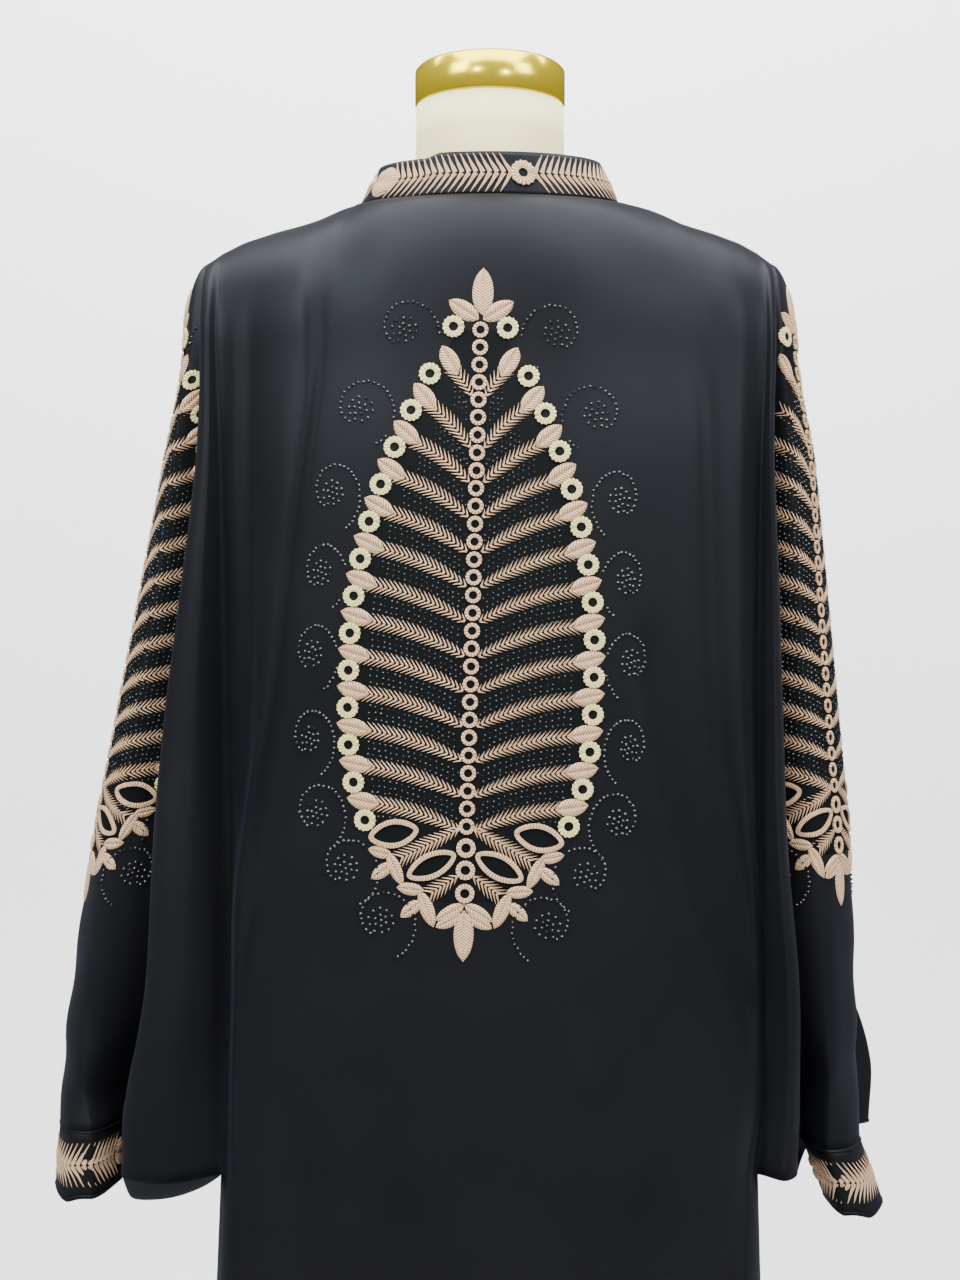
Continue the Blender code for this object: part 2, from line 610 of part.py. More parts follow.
def add_side(cloth, side):
    sign = SIDES[side]
    front_name = "front_panel_" + side
    sleeve_name = "sleeve_" + side
    back_levels, arm_levels, front_levels = [], [], []
    for height in (LEVELS[0], *UPPER_HEIGHTS):
        back, arm, front = upper_section(side, height)
        back_levels.append(at_height(back, height))
        arm_levels.append(at_height(arm, height))
        front_levels.append(at_height(front, height))

    # Shoulders, yoke and sleeve head
    back_places = [fold_place(i, BACK_STEPS) for i in range(sum(BACK_STEPS) + 1)]
    front_places = [len(FRONT_STEPS) - fold_place(i, FRONT_STEPS) for i in range(sum(FRONT_STEPS) + 1)]
    back_tops = [top_point(place, False) for place in back_places]
    front_tops = [top_point(place, True) for place in front_places]
    head = shoulder_point(SHOULDER_FOLD_REACH[-1])
    back_rows = yoke_rows(back_tops, back_levels[0]) + back_levels
    sleeve_head = head + Vector(SLEEVE_HEAD_STEP)
    arm_rows = yoke_rows([head] * len(arm_levels[0]), arm_levels[0]) + arm_levels
    arm_rows[0] = [sleeve_head] * len(arm_rows[0])
    front_rows = yoke_rows(front_tops, front_levels[0]) + front_levels

    # Below the pinch the wing closes on itself and the sleeve on itself
    for height in POUCH_HEIGHTS:
        back, front = pouch_section(side, height)
        back_rows.append(at_height(back, height))
        front_rows.append(at_height(front, height))
    step = Vector(PINCH_STEP)
    pinch = arm_rows[-1][0] + step
    arm_rows[-1] = [pinch, *arm_rows[-1][1:-1], pinch]
    seam_ring = wrist_ring(WRIST_RINGS[side]["seam"])
    edge_ring = wrist_ring(WRIST_RINGS[side]["edge"])
    arm_rows.append(seam_ring)
    cuff_rows = []
    for k in range(CUFF_ROWS + 1):
        cuff_rows.append([top.lerp(foot, k / CUFF_ROWS) for top, foot in zip(seam_ring, edge_ring)])

    # The seam under the wing, then the skirt
    wing_columns = sum(BACK_STEPS[4:])
    back_wing_edge = list(reversed(back_rows[-1][-wing_columns - 1 :]))
    front_wing_edge = front_rows[-1][: wing_columns + 1]
    top_back, arc, top_front = skirt_row(side, WING_BOTTOM)
    pouch = pouch_rows(back_wing_edge, front_wing_edge, arc)
    body_columns = sum(BACK_STEPS[:4]) + 1
    skirt = [(back_rows[-1][:body_columns], arc, front_rows[-1][wing_columns:])]
    skirt += [skirt_row(side, height) for height in SKIRT_HEIGHTS]

    cloth.patch("back_panel", back_rows, sign)
    cloth.patch("back_panel", [row[0] for row in skirt], sign)
    under_seam = [arc[0], *(point - Vector((0.0, 0.0, SEAM_GAP)) for point in arc[1 : SIDE_STEPS + 1])]
    back_side = [under_seam, *(row[1][: SIDE_STEPS + 1] for row in skirt[1:])]
    cloth.patch("back_panel", back_side, sign)
    cloth.patch(sleeve_name, arm_rows, sign)
    cloth.patch("cuff_" + side, cuff_rows, sign)
    cloth.patch(front_name, front_rows, sign)
    cloth.patch(front_name, pouch, sign)
    cloth.patch(front_name, [row[1][SIDE_STEPS:] for row in skirt], sign)
    cloth.patch(front_name, [row[2] for row in skirt], sign)


def collar_point(place, front, share):
    """A point of the standing band: share runs from 0 at its top edge to 1 at the neckline."""
    foot = neckline_point(place / 2, front)
    angle = place * math.pi / 4
    depth = -COLLAR_TOP_FRONT_DEPTH if front else COLLAR_TOP_BACK_DEPTH
    across = COLLAR_TOP_HALF_WIDTH * math.sin(angle)
    top = Vector((across, depth * math.cos(angle), foot.z + COLLAR_HEIGHT))
    point = top.lerp(foot, share)
    if front and place == 0:
        point.x = FRONT_EDGE_GAP / 2
    return point


def add_collar(cloth, sign):
    back_places = [fold_place(i, BACK_STEPS) for i in range(sum(BACK_STEPS[:2]) + 1)]
    front_columns = sum(FRONT_STEPS)
    first = front_columns - sum(FRONT_STEPS[-2:])
    spans = len(FRONT_STEPS)
    front_places = [spans - fold_place(i, FRONT_STEPS) for i in range(first, front_columns + 1)]
    rows = []
    for k in range(COLLAR_ROWS + 1):
        share = k / COLLAR_ROWS
        row = [collar_point(place, False, share) for place in back_places]
        row += [collar_point(place, True, share) for place in front_places[1:]]
        rows.append(row)
    cloth.patch("collar_band", rows, sign)


def leaf_half_width(share):
    """The leaf's half width as a part of its widest, from its tip (share 0) to its foot (share 1)."""
    if share < 0.62:
        return math.sin(math.pi / 2 * share / 0.62) ** 0.72
    return math.sqrt(max(1 - ((share - 0.62) / 0.385) ** 2.3, 0.0))


def leaf_plate(name, leaf, look, flip):
    """A closed plate on the cloth: a raised chain, V-shaped veins and a scalloped border over a plain back.

    leaf.columns(width, height) gives pairs of a column and its distance from the chain, and
    leaf.place(column, push, height) the cloth's point and normal there. A row follows one side of a vein.
    """
    rows = 2 * leaf.veins + 2
    found = {}
    feet, normals, rises, grid = [], [], [], []
    for r in range(rows + 1):
        share = r / rows
        ends = min(1.0, 6 * share, 6 * (1 - share))
        width = leaf.half_width * max(leaf_half_width(share), 0.05)
        height = leaf.top - (leaf.top - leaf.bottom) * share
        row = []
        for column, across in leaf.columns(width, height):
            at_border = abs(across) > width - 1e-6
            push = math.copysign((LEAF_SCALLOP if r % 2 else 0.0) * ends, across) if at_border else 0.0
            point, normal = leaf.place(column, push, height + VEIN_RISE * abs(across) * ends)
            if abs(across) < 1e-6:
                raised = LEAF_CHAIN
            elif abs(across) > width - LEAF_BORDER_WIDTH:
                raised = LEAF_BORDER
            else:
                raised = LEAF_VEIN if r % 2 else LEAF_GROUND
            key = tuple(round(value * 1e5) for value in point)
            if key not in found:
                found[key] = len(feet)
                feet.append(point + normal * LEAF_GAP)
                normals.append(normal)
                rises.append(raised)
            row.append(found[key])
        grid.append(row)
    faces = []
    for upper, lower in zip(grid, grid[1:]):
        for i in range(len(upper) - 1):
            a, b, c, d = upper[i], upper[i + 1], lower[i + 1], lower[i]
            for half in ((a, b, c), (a, c, d)):
                if len(set(half)) == 3:
                    faces.append(half[::-1] if flip else half)
    lift_off(leaf.tree, faces, feet, normals)
    outer = [foot + normal * rise for foot, normal, rise in zip(feet, normals, rises)]
    return mesh_object(name, [*outer, *feet], closed_wall(faces, open_edges(faces), len(outer)), look)


def lift_off(tree, faces, feet, normals):
    """Lifts the plate's back wherever a flat face of it would dip into the cloth's own flat faces."""
    fine = LIFT_FINENESS
    samples = [(i / fine, j / fine, (fine - i - j) / fine) for i in range(fine + 1) for j in range(fine + 1 - i)]
    for _ in range(LIFT_PASSES):
        wanted = {}
        for face in faces:
            normal = sum((normals[i] for i in face), Vector()).normalized()
            for weights in samples:
                spot = sum((feet[i] * weight for i, weight in zip(face, weights)), Vector())
                hit, _, _, distance = tree.ray_cast(spot + normal * LEAF_REACH, -normal)
                if hit is None or distance - LEAF_REACH >= LEAF_LEAST_GAP:
                    continue
                for i in face:
                    wanted[i] = max(wanted.get(i, 0.0), LEAF_LEAST_GAP - (distance - LEAF_REACH))
        for i, lift in wanted.items():
            feet[i] = feet[i] + normals[i] * lift


class BackLeaf:
    """The large leaf down the middle of the back."""

    top = BACK_LEAF_TOP
    bottom = BACK_LEAF_BOTTOM
    half_width = BACK_LEAF_HALF_WIDTH
    veins = BACK_LEAF_VEINS

    def __init__(self, tree):
        self.tree = tree

    def columns(self, width, _height):
        inner = max(width - LEAF_BORDER_WIDTH, width * 0.55)
        half = (0.25 * inner, 0.62 * inner, inner, width)
        across = [-value for value in reversed(half)] + [0.0, *half]
        return [(value, value) for value in across]

    def place(self, column, push, height):
        share = (self.top - height) / (self.top - self.bottom)
        middle = BACK_LEAF_MIDDLE[0] * (1 - share) + BACK_LEAF_MIDDLE[1] * share
        start = Vector((middle + column + push, 0.4, height))
        point, normal, _, _ = self.tree.ray_cast(start, Vector((0.0, -1.0, 0.0)))
        return point, normal


class SleeveLeaf:
    """The same leaf down the outer arm, whose columns are those of the sleeve's own cloth."""

    bottom = SLEEVE_LEAF_BOTTOM
    veins = SLEEVE_LEAF_VEINS

    def __init__(self, tree, side):
        self.tree = tree
        self.side = side
        self.top = SLEEVE_LEAF_TOP[side]
        self.half_width = SLEEVE_LEAF_HALF_WIDTH[side]
        self.middle = SLEEVE_LEAF_COLUMN[side]

    def line(self, height):
        """The sleeve's section, with the distance of each point along it from the leaf's chain."""
        arm = upper_section(self.side, height)[1]
        runs = [0.0]
        for a, b in zip(arm, arm[1:]):
            runs.append(runs[-1] + (b - a).length)
        return arm, [run - runs[self.middle] for run in runs]

    def columns(self, width, height):
        _, runs = self.line(height)
        back_limit = max(-width, runs[0] + LEAF_FROM_TUCK)
        front_limit = min(width, runs[-1] - LEAF_FROM_TUCK)
        found = []
        for i, run in enumerate(runs):
            across = max(back_limit, min(front_limit, run))
            k = min(max(next((j for j in range(len(runs)) if runs[j] > across), i), 1), len(runs) - 1)
            column = k - 1 + (across - runs[k - 1]) / (runs[k] - runs[k - 1])
            found.append((column, 0.0 if i == self.middle else across))
        return found

    def place(self, column, push, height):
        arm, _ = self.line(height)
        i = min(int(column), len(arm) - 2)
        along = (arm[i + 1] - arm[i]).normalized()
        point = arm[i].lerp(arm[i + 1], column - i) + along * push
        sign = SIDES[self.side]
        outward = Vector((sign * -along.y, along.x, 0.0))
        start = Vector((sign * point.x, point.y, height)) + outward * LEAF_REACH
        hit, normal, _, _ = self.tree.ray_cast(start, -outward)
        return hit, normal


def form_columns(cloth, normals, side):
    """The form under one side's yoke, column by column, from the centre back round to the centre front."""
    sign = SIDES[side]
    back, _, front = upper_section(side, LEVELS[0])
    steps_to_front = tuple(reversed(FRONT_STEPS))
    columns = []
    for steps, line, is_front in ((BACK_STEPS, back, False), (steps_to_front, front[::-1], True)):
        found = []
        for place in FORM_COLUMNS:
            index = round(sum(steps[: int(place)]) + (place - int(place)) * steps[int(place)])
            top = top_point(fold_place(index, steps), is_front)
            low = at_height([line[index]], LEVELS[0])[0]
            found.append([under_cloth(cloth, normals, top, low, k / YOKE_ROWS, sign)
                          for k in range(YOKE_ROWS + 1)])
        columns.append(found)
    back_columns, front_columns = columns
    tip, back_low, front_low = back_columns[-1][0], back_columns[-1][-1], front_columns[-1][-1]
    middle = (back_low + front_low) / 2
    half = (back_low - front_low) / 2
    sides = []
    for k in range(1, FORM_SIDE_COLUMNS + 1):
        angle = math.pi * k / (FORM_SIDE_COLUMNS + 1)
        low = middle + half * math.cos(angle) + Vector((sign * FORM_SHOULDER_ROUND * math.sin(angle), 0, 0))
        sides.append([yoke_point(tip, low, j / YOKE_ROWS) for j in range(YOKE_ROWS + 1)])
    return [*back_columns, *sides, *reversed(front_columns)]


def under_cloth(cloth, normals, top, low, turn, sign):
    """A point of the form, below the yoke's cloth by its wall, a small gap and the slack further down."""
    point = yoke_point(top, low, turn)
    index = cloth.vertex(Vector((sign * point.x, point.y, point.z)))
    slack = FORM_SLACK * math.sin(turn * math.pi / 2) ** 2
    return cloth.points[index] - normals[index] * (WALL + FORM_GAP + slack)


def form_rows(cloth, normals):
    """Closed rings of the form from the neckline down, one list of points for each ring."""
    left = form_columns(cloth, normals, "left")
    right = form_columns(cloth, normals, "right")
    around = [*left, *reversed(right[1:-1])]
    rows = [[column[k] for column in around] for k in range(YOKE_ROWS + 1)]
    seat = rows[-1]
    for height, half_width, back_depth, front_depth in FORM_RINGS:
        rows.append(form_ring(seat, height, half_width, back_depth, front_depth))
    rows.append(form_ring(seat, FORM_BOTTOM, FORM_BOTTOM_HALF_WIDTH, FORM_BOTTOM_DEPTH, FORM_BOTTOM_DEPTH))
    return rows


def form_ring(seat, height, half_width, back_depth, front_depth):
    """A ring of the body whose points face the way that the shoulders' ring does."""
    ring = []
    for point in seat:
        depth = back_depth if point.y >= 0 else front_depth
        angle = math.atan2(point.y / 0.10, point.x / 0.19)
        ring.append(Vector((half_width * math.cos(angle), depth * math.sin(angle), height)))
    return ring


def neck_rows(neckline):
    """Rings from the round neck down to the neckline's ring."""
    rows = []
    middle = Vector((NECK_MIDDLE[0], NECK_MIDDLE[1], 0.0))
    for rise, blend in reversed(NECK_RISE):
        ring = []
        for point in neckline:
            angle = math.atan2(point.y - middle.y, point.x - middle.x)
            around = middle + Vector((math.cos(angle), math.sin(angle), 0.0)) * NECK_RADIUS
            flat = Vector((point.x, point.y, 0.0)).lerp(around, blend)
            ring.append(Vector((flat.x, flat.y, point.z + (NECK_RING_HEIGHT - point.z) * rise)))
        rows.append(ring)
    top = [Vector((point.x, point.y, NECK_TOP)) for point in rows[0]]
    return [top, *rows]


def bridge(made, upper, lower):
    for i in range(len(upper)):
        k = (i + 1) % len(upper)
        corners = []
        for vertex in (upper[i], lower[i], lower[k], upper[k]):
            if vertex not in corners:
                corners.append(vertex)
        if len(corners) > 2:
            made.faces.new(corners)


def dress_form(cloth, normals, look):
    """The limbless body with its neck: rings from the top of the neck to the flat underside."""
    rows = form_rows(cloth, normals)
    shoulder_ring = rows[0]
    neck_columns = [
        i for i, point in enumerate(shoulder_ring) if abs(point.x) < NECK_HALF_WIDTH + 0.002
    ]
    made = bmesh.new()
    rings = [[made.verts.new(point) for point in ring] for ring in rows]
    for upper, lower in zip(rings, rings[1:]):
        bridge(made, upper, lower)
    neckline = [shoulder_ring[i] for i in neck_columns]
    neck = [[made.verts.new(point) for point in ring] for ring in neck_rows(neckline)]
    neck.append([rings[0][i] for i in neck_columns])
    for upper, lower in zip(neck, neck[1:]):
        bridge(made, upper, lower)
    made.faces.new(list(reversed(neck[0])))
    made.faces.new(rings[-1])
    bmesh.ops.remove_doubles(made, verts=made.verts, dist=2e-4)
    bmesh.ops.recalc_face_normals(made, faces=made.faces)
    mesh = bpy.data.meshes.new("form_body")
    made.to_mesh(mesh)
    made.free()
    mesh.materials.append(look)
    mesh.shade_smooth()
    form = bpy.data.objects.new("form_body", mesh)
    bpy.context.scene.collection.objects.link(form)
    return form


def turned(name, profile, look, sides=ROUND_SIDES, middle=(0.0, 0.0)):
    """A round solid from (radius, height) points, top to bottom, that start and end on its axis."""
    made = bmesh.new()
    verts = [made.verts.new((radius, 0.0, height)) for radius, height in profile]
    edges = [made.edges.new(pair) for pair in zip(verts, verts[1:])]
    bmesh.ops.spin(
        made, geom=[*verts, *edges], cent=(0, 0, 0), axis=(0, 0, 1), angle=2 * math.pi,
        steps=sides, use_merge=True,
    )
    bmesh.ops.remove_doubles(made, verts=made.verts, dist=1e-6)
    bmesh.ops.recalc_face_normals(made, faces=made.faces)
    bmesh.ops.translate(made, verts=made.verts, vec=(middle[0], middle[1], 0.0))
    mesh = bpy.data.meshes.new(name)
    made.to_mesh(mesh)
    made.free()
    mesh.materials.append(look)
    mesh.shade_smooth()
    mesh.set_sharp_from_angle(angle=math.radians(35))
    solid = bpy.data.objects.new(name, mesh)
    bpy.context.scene.collection.objects.link(solid)
    return solid


def stand(gold, steel):
    cap_low = NECK_TOP + SEAM_GAP
    turned(
        "neck_cap",
        (
            (0.0, CAP_TOP),
            (CAP_RADIUS - CAP_BEVEL, CAP_TOP),
            (CAP_RADIUS, CAP_TOP - CAP_BEVEL),
            (CAP_RADIUS, cap_low + CAP_BEVEL),
            (CAP_RADIUS - CAP_BEVEL, cap_low),
            (0.0, cap_low),
        ),
        gold, middle=NECK_MIDDLE,
    )
    pole_top = FORM_BOTTOM - SEAM_GAP
    pole_low = HUB_TOP + SEAM_GAP
    turned("pole", ((0.0, pole_top), (POLE_RADIUS, pole_top), (POLE_RADIUS, pole_low), (0.0, pole_low)),
           steel, sides=20)
    turned(
        "base",
        (
            (0.0, HUB_TOP),
            (HUB_RADIUS - 0.004, HUB_TOP),
            (HUB_RADIUS, HUB_TOP - 0.004),
            (HUB_RADIUS, BASE_TOP),
            (BASE_RADIUS - 0.020, BASE_TOP - 0.002),
            (BASE_RADIUS - 0.003, BASE_EDGE),
            (BASE_RADIUS, BASE_EDGE - 0.004),
            (BASE_RADIUS, 0.0),
            (0.0, 0.0),
        ),
        steel,
    )


def build():
    clear_scene()
    black = material("abaya_crepe", CLOTH_BLACK, 0.55)
    rose = material("rose_embroidery", THREAD_ROSE, 0.6)
    linen = material("cream_linen", LINEN, 0.85)
    gold = material("polished_gold", GOLD, 0.12, 1.0)
    steel = material("dark_steel", DARK_STEEL, 0.4, 1.0)

    cloth = Cloth()
    for side, sign in SIDES.items():
        add_side(cloth, side)
        add_collar(cloth, sign)
    normals = cloth.normals()
    for name in sorted(set(cloth.owners)):
        walled_piece(cloth, normals, name, black)

    leaf_plate("back_leaf", BackLeaf(cloth.tree("back_panel")), rose, False)
    for side, sign in SIDES.items():
        leaf = SleeveLeaf(cloth.tree("sleeve_" + side), side)
        leaf_plate("sleeve_leaf_" + side, leaf, rose, sign < 0)
    dress_form(cloth, normals, linen)
    stand(gold, steel)


build()
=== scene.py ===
# %% [markdown]
# # A black abaya on a dress form
# The abaya is an open cloak of heavy crepe with bat-wing sides and long sleeves. A large leaf is embroidered
# on its back and on each sleeve, and a feather runs round the collar and the cuffs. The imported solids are
# loaded first, because every piece made here has to sit where they are.

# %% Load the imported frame
import bisect
import math
import random

import bmesh
import bpy
from mathutils import Matrix, Vector
from mathutils.bvhtree import BVHTree


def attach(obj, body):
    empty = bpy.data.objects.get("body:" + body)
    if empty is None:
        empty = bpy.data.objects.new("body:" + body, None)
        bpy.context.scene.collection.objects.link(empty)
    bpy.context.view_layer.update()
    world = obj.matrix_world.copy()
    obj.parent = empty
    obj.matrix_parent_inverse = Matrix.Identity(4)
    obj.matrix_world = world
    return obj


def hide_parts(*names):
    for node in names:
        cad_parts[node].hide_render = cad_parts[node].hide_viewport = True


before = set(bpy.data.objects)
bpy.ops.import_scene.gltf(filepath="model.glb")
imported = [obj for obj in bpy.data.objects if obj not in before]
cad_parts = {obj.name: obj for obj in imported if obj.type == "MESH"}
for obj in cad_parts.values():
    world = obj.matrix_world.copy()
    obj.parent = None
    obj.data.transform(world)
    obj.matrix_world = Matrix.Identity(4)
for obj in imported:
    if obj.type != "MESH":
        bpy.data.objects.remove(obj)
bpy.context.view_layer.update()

# %% [markdown]
# ## Finishes
# A material is a small sum: a fine pattern is worked out from a position and then drives colour, roughness
# and bump. Node links are tedious to write one by one, so a wire is wrapped in a class on which ordinary
# arithmetic makes the Math nodes.

# %% A wire that can be added and multiplied
class Wire:
    """A node's output. Arithmetic on it makes Math nodes in the same material."""

    def __init__(self, look, socket):
        self.look = look
        self.socket = socket

    def maths(self, operation, *values):
        return self.look.node("ShaderNodeMath", {"operation": operation}, dict(enumerate(values)))

    def __add__(self, other):
        return self.maths("ADD", self, other)

    def __radd__(self, other):
        return self.maths("ADD", other, self)

    def __sub__(self, other):
        return self.maths("SUBTRACT", self, other)

    def __rsub__(self, other):
        return self.maths("SUBTRACT", other, self)

    def __mul__(self, other):
        return self.maths("MULTIPLY", self, other)

    def __rmul__(self, other):
        return self.maths("MULTIPLY", other, self)

    def sine(self):
        return self.maths("SINE", self)


class Look:
    """A material under construction."""

    def __init__(self, name, **constants):
        self.material = bpy.data.materials.new(name)
        self.material.use_nodes = True
        self.tree = self.material.node_tree
        self.shader = self.tree.nodes["Principled BSDF"]
        for socket, value in constants.items():
            self.shader.inputs[socket.replace("_", " ")].default_value = value

    def node(self, kind, settings, sockets, output=0):
        """One node: its settings are set first, then its sockets get a value or a link."""
        made = self.tree.nodes.new(kind)
        for name, value in settings.items():
            setattr(made, name, value)
        for key, value in sockets.items():
            if isinstance(value, Wire):
                self.tree.links.new(value.socket, made.inputs[key])
            else:
                made.inputs[key].default_value = value
        return Wire(self, made.outputs[output])

    def place(self, output="Object"):
        return self.node("ShaderNodeTexCoord", {}, {}, output)

    def noise(self, where, scale, detail=2.0):
        return self.node("ShaderNodeTexNoise", {}, {"Vector": where, "Scale": scale, "Detail": detail})

    def axis(self, where, name):
        return self.node("ShaderNodeSeparateXYZ", {}, {"Vector": where}, name)

    def mixed(self, share, first, second):
        """A colour between two colours, by a share from 0 to 1."""
        made = self.tree.nodes.new("ShaderNodeMix")
        made.data_type = "RGBA"
        self.tree.links.new(share.socket, made.inputs["Factor"])
        for key, value in (("A", first), ("B", second)):
            socket = next(s for s in made.inputs if s.name == key and s.type == "RGBA")
            socket.default_value = (*value, 1.0)
        return Wire(self, next(s for s in made.outputs if s.type == "RGBA"))

    def drive(self, name, wire):
        self.tree.links.new(wire.socket, self.shader.inputs[name])

    def bump(self, height, strength, distance):
        normal = self.node(
            "ShaderNodeBump", {}, {"Height": height, "Strength": strength, "Distance": distance}
        )
        self.drive("Normal", normal)


# %% [markdown]
# ### Black crepe
# Crepe is woven from tightly twisted yarn, so it has a fine pebbled grain and only a soft, slightly blue
# sheen. Two noises give the grain and a slow drift of tone; the sheen itself is a constant of the shader.

# %% The crepe
CREPE_DARK = (0.0045, 0.0045, 0.0052)
CREPE_LIGHT = (0.0105, 0.0105, 0.0118)


def crepe_look():
    look = Look("black_crepe", Sheen_Weight=0.04, Sheen_Roughness=0.40, Specular_IOR_Level=0.13,
                Sheen_Tint=(0.50, 0.62, 1.0, 1.0), Specular_Tint=(0.74, 0.84, 1.0, 1.0))
    where = look.place()
    drift = look.noise(where, 9.0)
    grain = look.noise(where, 1500.0, 3.0)
    slub = look.noise(where, 420.0)
    look.drive("Base Color", look.mixed(drift * 0.6 + grain * 0.4, CREPE_DARK, CREPE_LIGHT))
    look.drive("Roughness", 0.36 + drift * 0.10 + grain * 0.06)
    look.bump(grain * 0.7 + slub * 0.3, 0.16, 0.0004)
    return look.material


CREPE = crepe_look()
print("made", CREPE.name)

# %% [markdown]
# ### Embroidery thread
# Satin stitch is rayon thread laid side by side, so it is silky along the thread and ridged across it. Each
# motif's own map is in metres, and a sine across that map gives the ridges at the pitch of the stitches.
# The same sine also sets the colour: painted shade in the grooves between the stitches and a painted lit tone
# on their ridges, mixed with random tone from a noise.

# %% The threads
STITCH_PITCH = 0.0021
# Each pair: the darker colour is painted shade in the grooves between stitches, the lighter one is the
# painted lit tone of their ridges
ROSE_GROOVE_SHADE = (0.18, 0.09, 0.040)
ROSE_LIT_RIDGE = (1.0, 0.67, 0.40)
CREAM_GROOVE_SHADE = (0.48, 0.39, 0.11)
CREAM_LIT_RIDGE = (0.98, 0.90, 0.42)
BLACK_GROOVE_SHADE = (0.010, 0.010, 0.013)
BLACK_LIT_RIDGE = (0.055, 0.057, 0.066)


def thread_look(name, groove_shade, light):
    look = Look(name, Sheen_Weight=0.15, Sheen_Roughness=0.3, Specular_IOR_Level=0.55)
    run = look.axis(look.place("UV"), "X")
    ridge = (run * (2 * math.pi / STITCH_PITCH)).sine() * 0.5 + 0.5
    fray = look.noise(look.place(), 520.0)
    # Colour by the sine is painted groove shade and painted lit ridges; the noise adds random tone
    look.drive("Base Color", look.mixed(ridge * 0.65 + fray * 0.35, groove_shade, light))
    look.drive("Roughness", 0.55 - ridge * 0.15 + fray * 0.08)
    look.bump(ridge * 0.7 + fray * 0.3, 0.8, 0.0009)
    return look.material


ROSE_THREAD = thread_look("rose_thread", ROSE_GROOVE_SHADE, ROSE_LIT_RIDGE)
CREAM_THREAD = thread_look("cream_thread", CREAM_GROOVE_SHADE, CREAM_LIT_RIDGE)
BLACK_THREAD = thread_look("black_thread", BLACK_GROOVE_SHADE, BLACK_LIT_RIDGE)
print("made", ROSE_THREAD.name, CREAM_THREAD.name, BLACK_THREAD.name)

# %% [markdown]
# ### Black stones, linen, gold and steel
# The stones are black glass: nearly no colour and a hard gloss, so they show only as glints. The form is
# covered in cream linen, whose weave is two crossed sines. Its cap is polished gold-coloured metal.

# %% The other finishes
WEAVE_PITCH = 0.0011
STONE_TONES = (0.006, 0.006, 0.008), (0.022, 0.025, 0.029)
LINEN_TONES = (0.95, 0.86, 0.44), (1.0, 0.95, 0.56)
GOLD_TONES = (0.80, 0.60, 0.02), (0.90, 0.70, 0.05)
STEEL_TONES = (0.028, 0.028, 0.031), (0.055, 0.055, 0.06)
BEADING_TONES = (0.0008, 0.0012, 0.0014), (0.004, 0.006, 0.007)


def stone_look():
    look = Look("black_stone", Specular_IOR_Level=0.55, Coat_Weight=0.25, Coat_Roughness=0.03)
    tone = look.noise(look.place(), 300.0)
    look.drive("Base Color", look.mixed(tone, *STONE_TONES))
    look.drive("Roughness", 0.05 + tone * 0.10)
    return look.material


def linen_look():
    look = Look("cream_linen", Sheen_Weight=0.1, Specular_IOR_Level=0.3)
    where = look.place()
    warp = (look.axis(where, "X") * (2 * math.pi / WEAVE_PITCH)).sine()
    weft = (look.axis(where, "Z") * (2 * math.pi / WEAVE_PITCH)).sine()
    slub = look.noise(where, 260.0, 4.0)
    weave = warp * weft * 0.25 + slub
    look.drive("Base Color", look.mixed(weave * 0.8, *LINEN_TONES))
    look.drive("Roughness", 0.80 + slub * 0.15)
    look.bump(weave, 0.3, 0.0004)
    return look.material


def gold_look():
    look = Look("polished_gold", Metallic=0.75, Specular_Tint=(0.90, 0.62, 0.10, 1.0))
    where = look.place()
    tone = look.noise(where, 12.0)
    wear = look.noise(where, 180.0, 4.0)
    look.drive("Base Color", look.mixed(tone, *GOLD_TONES))
    look.drive("Roughness", 0.16 + wear * 0.12)
    return look.material


def steel_look():
    look = Look("dark_steel", Specular_IOR_Level=0.5)
    where = look.place()
    grain = look.noise(where, 500.0, 3.0)
    wear = look.noise(where, 14.0, 4.0)
    look.drive("Base Color", look.mixed(wear, *STEEL_TONES))
    look.drive("Roughness", 0.34 + grain * 0.16)
    look.bump(grain, 0.1, 0.0003)
    return look.material


def beaded_look():
    look = Look("black_beading", Specular_IOR_Level=0.12)
    where = look.place()
    beads = look.noise(where, 900.0)
    look.drive("Base Color", look.mixed(beads, *BEADING_TONES))
    look.drive("Roughness", 0.60 + beads * 0.3)
    look.bump(beads, 0.25, 0.0005)
    return look.material


STONE = stone_look()
BEAD_GROUND = beaded_look()
LINEN = linen_look()
GOLD = gold_look()
STEEL = steel_look()
print("made", STONE.name, LINEN.name, GOLD.name, STEEL.name)

# %% [markdown]
# ## The folds of the garment
# The cloth hangs in vertical folds, so a level cut through it is one smooth line: from the centre back, round
# the wing and the arm, to the centre front. The tables give that line at a few heights, the same as in the
# solids. Curves through them give it anywhere, and rows of such lines are laid on grids as cloth.

# %% Collar, shoulder and body
# Neckline and collar band
NECK_HALF_WIDTH = 0.101
NECK_BACK_DEPTH = 0.062
NECK_FRONT_DEPTH = 0.085
NECK_SIDE_HEIGHT = 1.444
NECK_BACK_DROP = 0.004
NECK_FRONT_DROP = 0.059
NECK_FRONT_DIP = 1.6
COLLAR_TOP_HALF_WIDTH = 0.086
COLLAR_TOP_BACK_DEPTH = 0.058
COLLAR_TOP_FRONT_DEPTH = 0.079
COLLAR_HEIGHT = 0.033
COLLAR_ROWS = 10

# Shoulder line, from the neck's side to the head of the sleeve: distance from the middle, and height
SHOULDER_LINE = (
    (0.101, 1.444),
    (0.134, 1.432),
    (0.166, 1.4235),
    (0.190, 1.416),
    (0.206, 1.408),
    (0.2165, 1.4005),
)
# Where the folds of the back and the front meet the neckline's side and the shoulder line
SHOULDER_FOLD_REACH = (0.101, 0.150, 0.206, 0.2115, 0.2165)

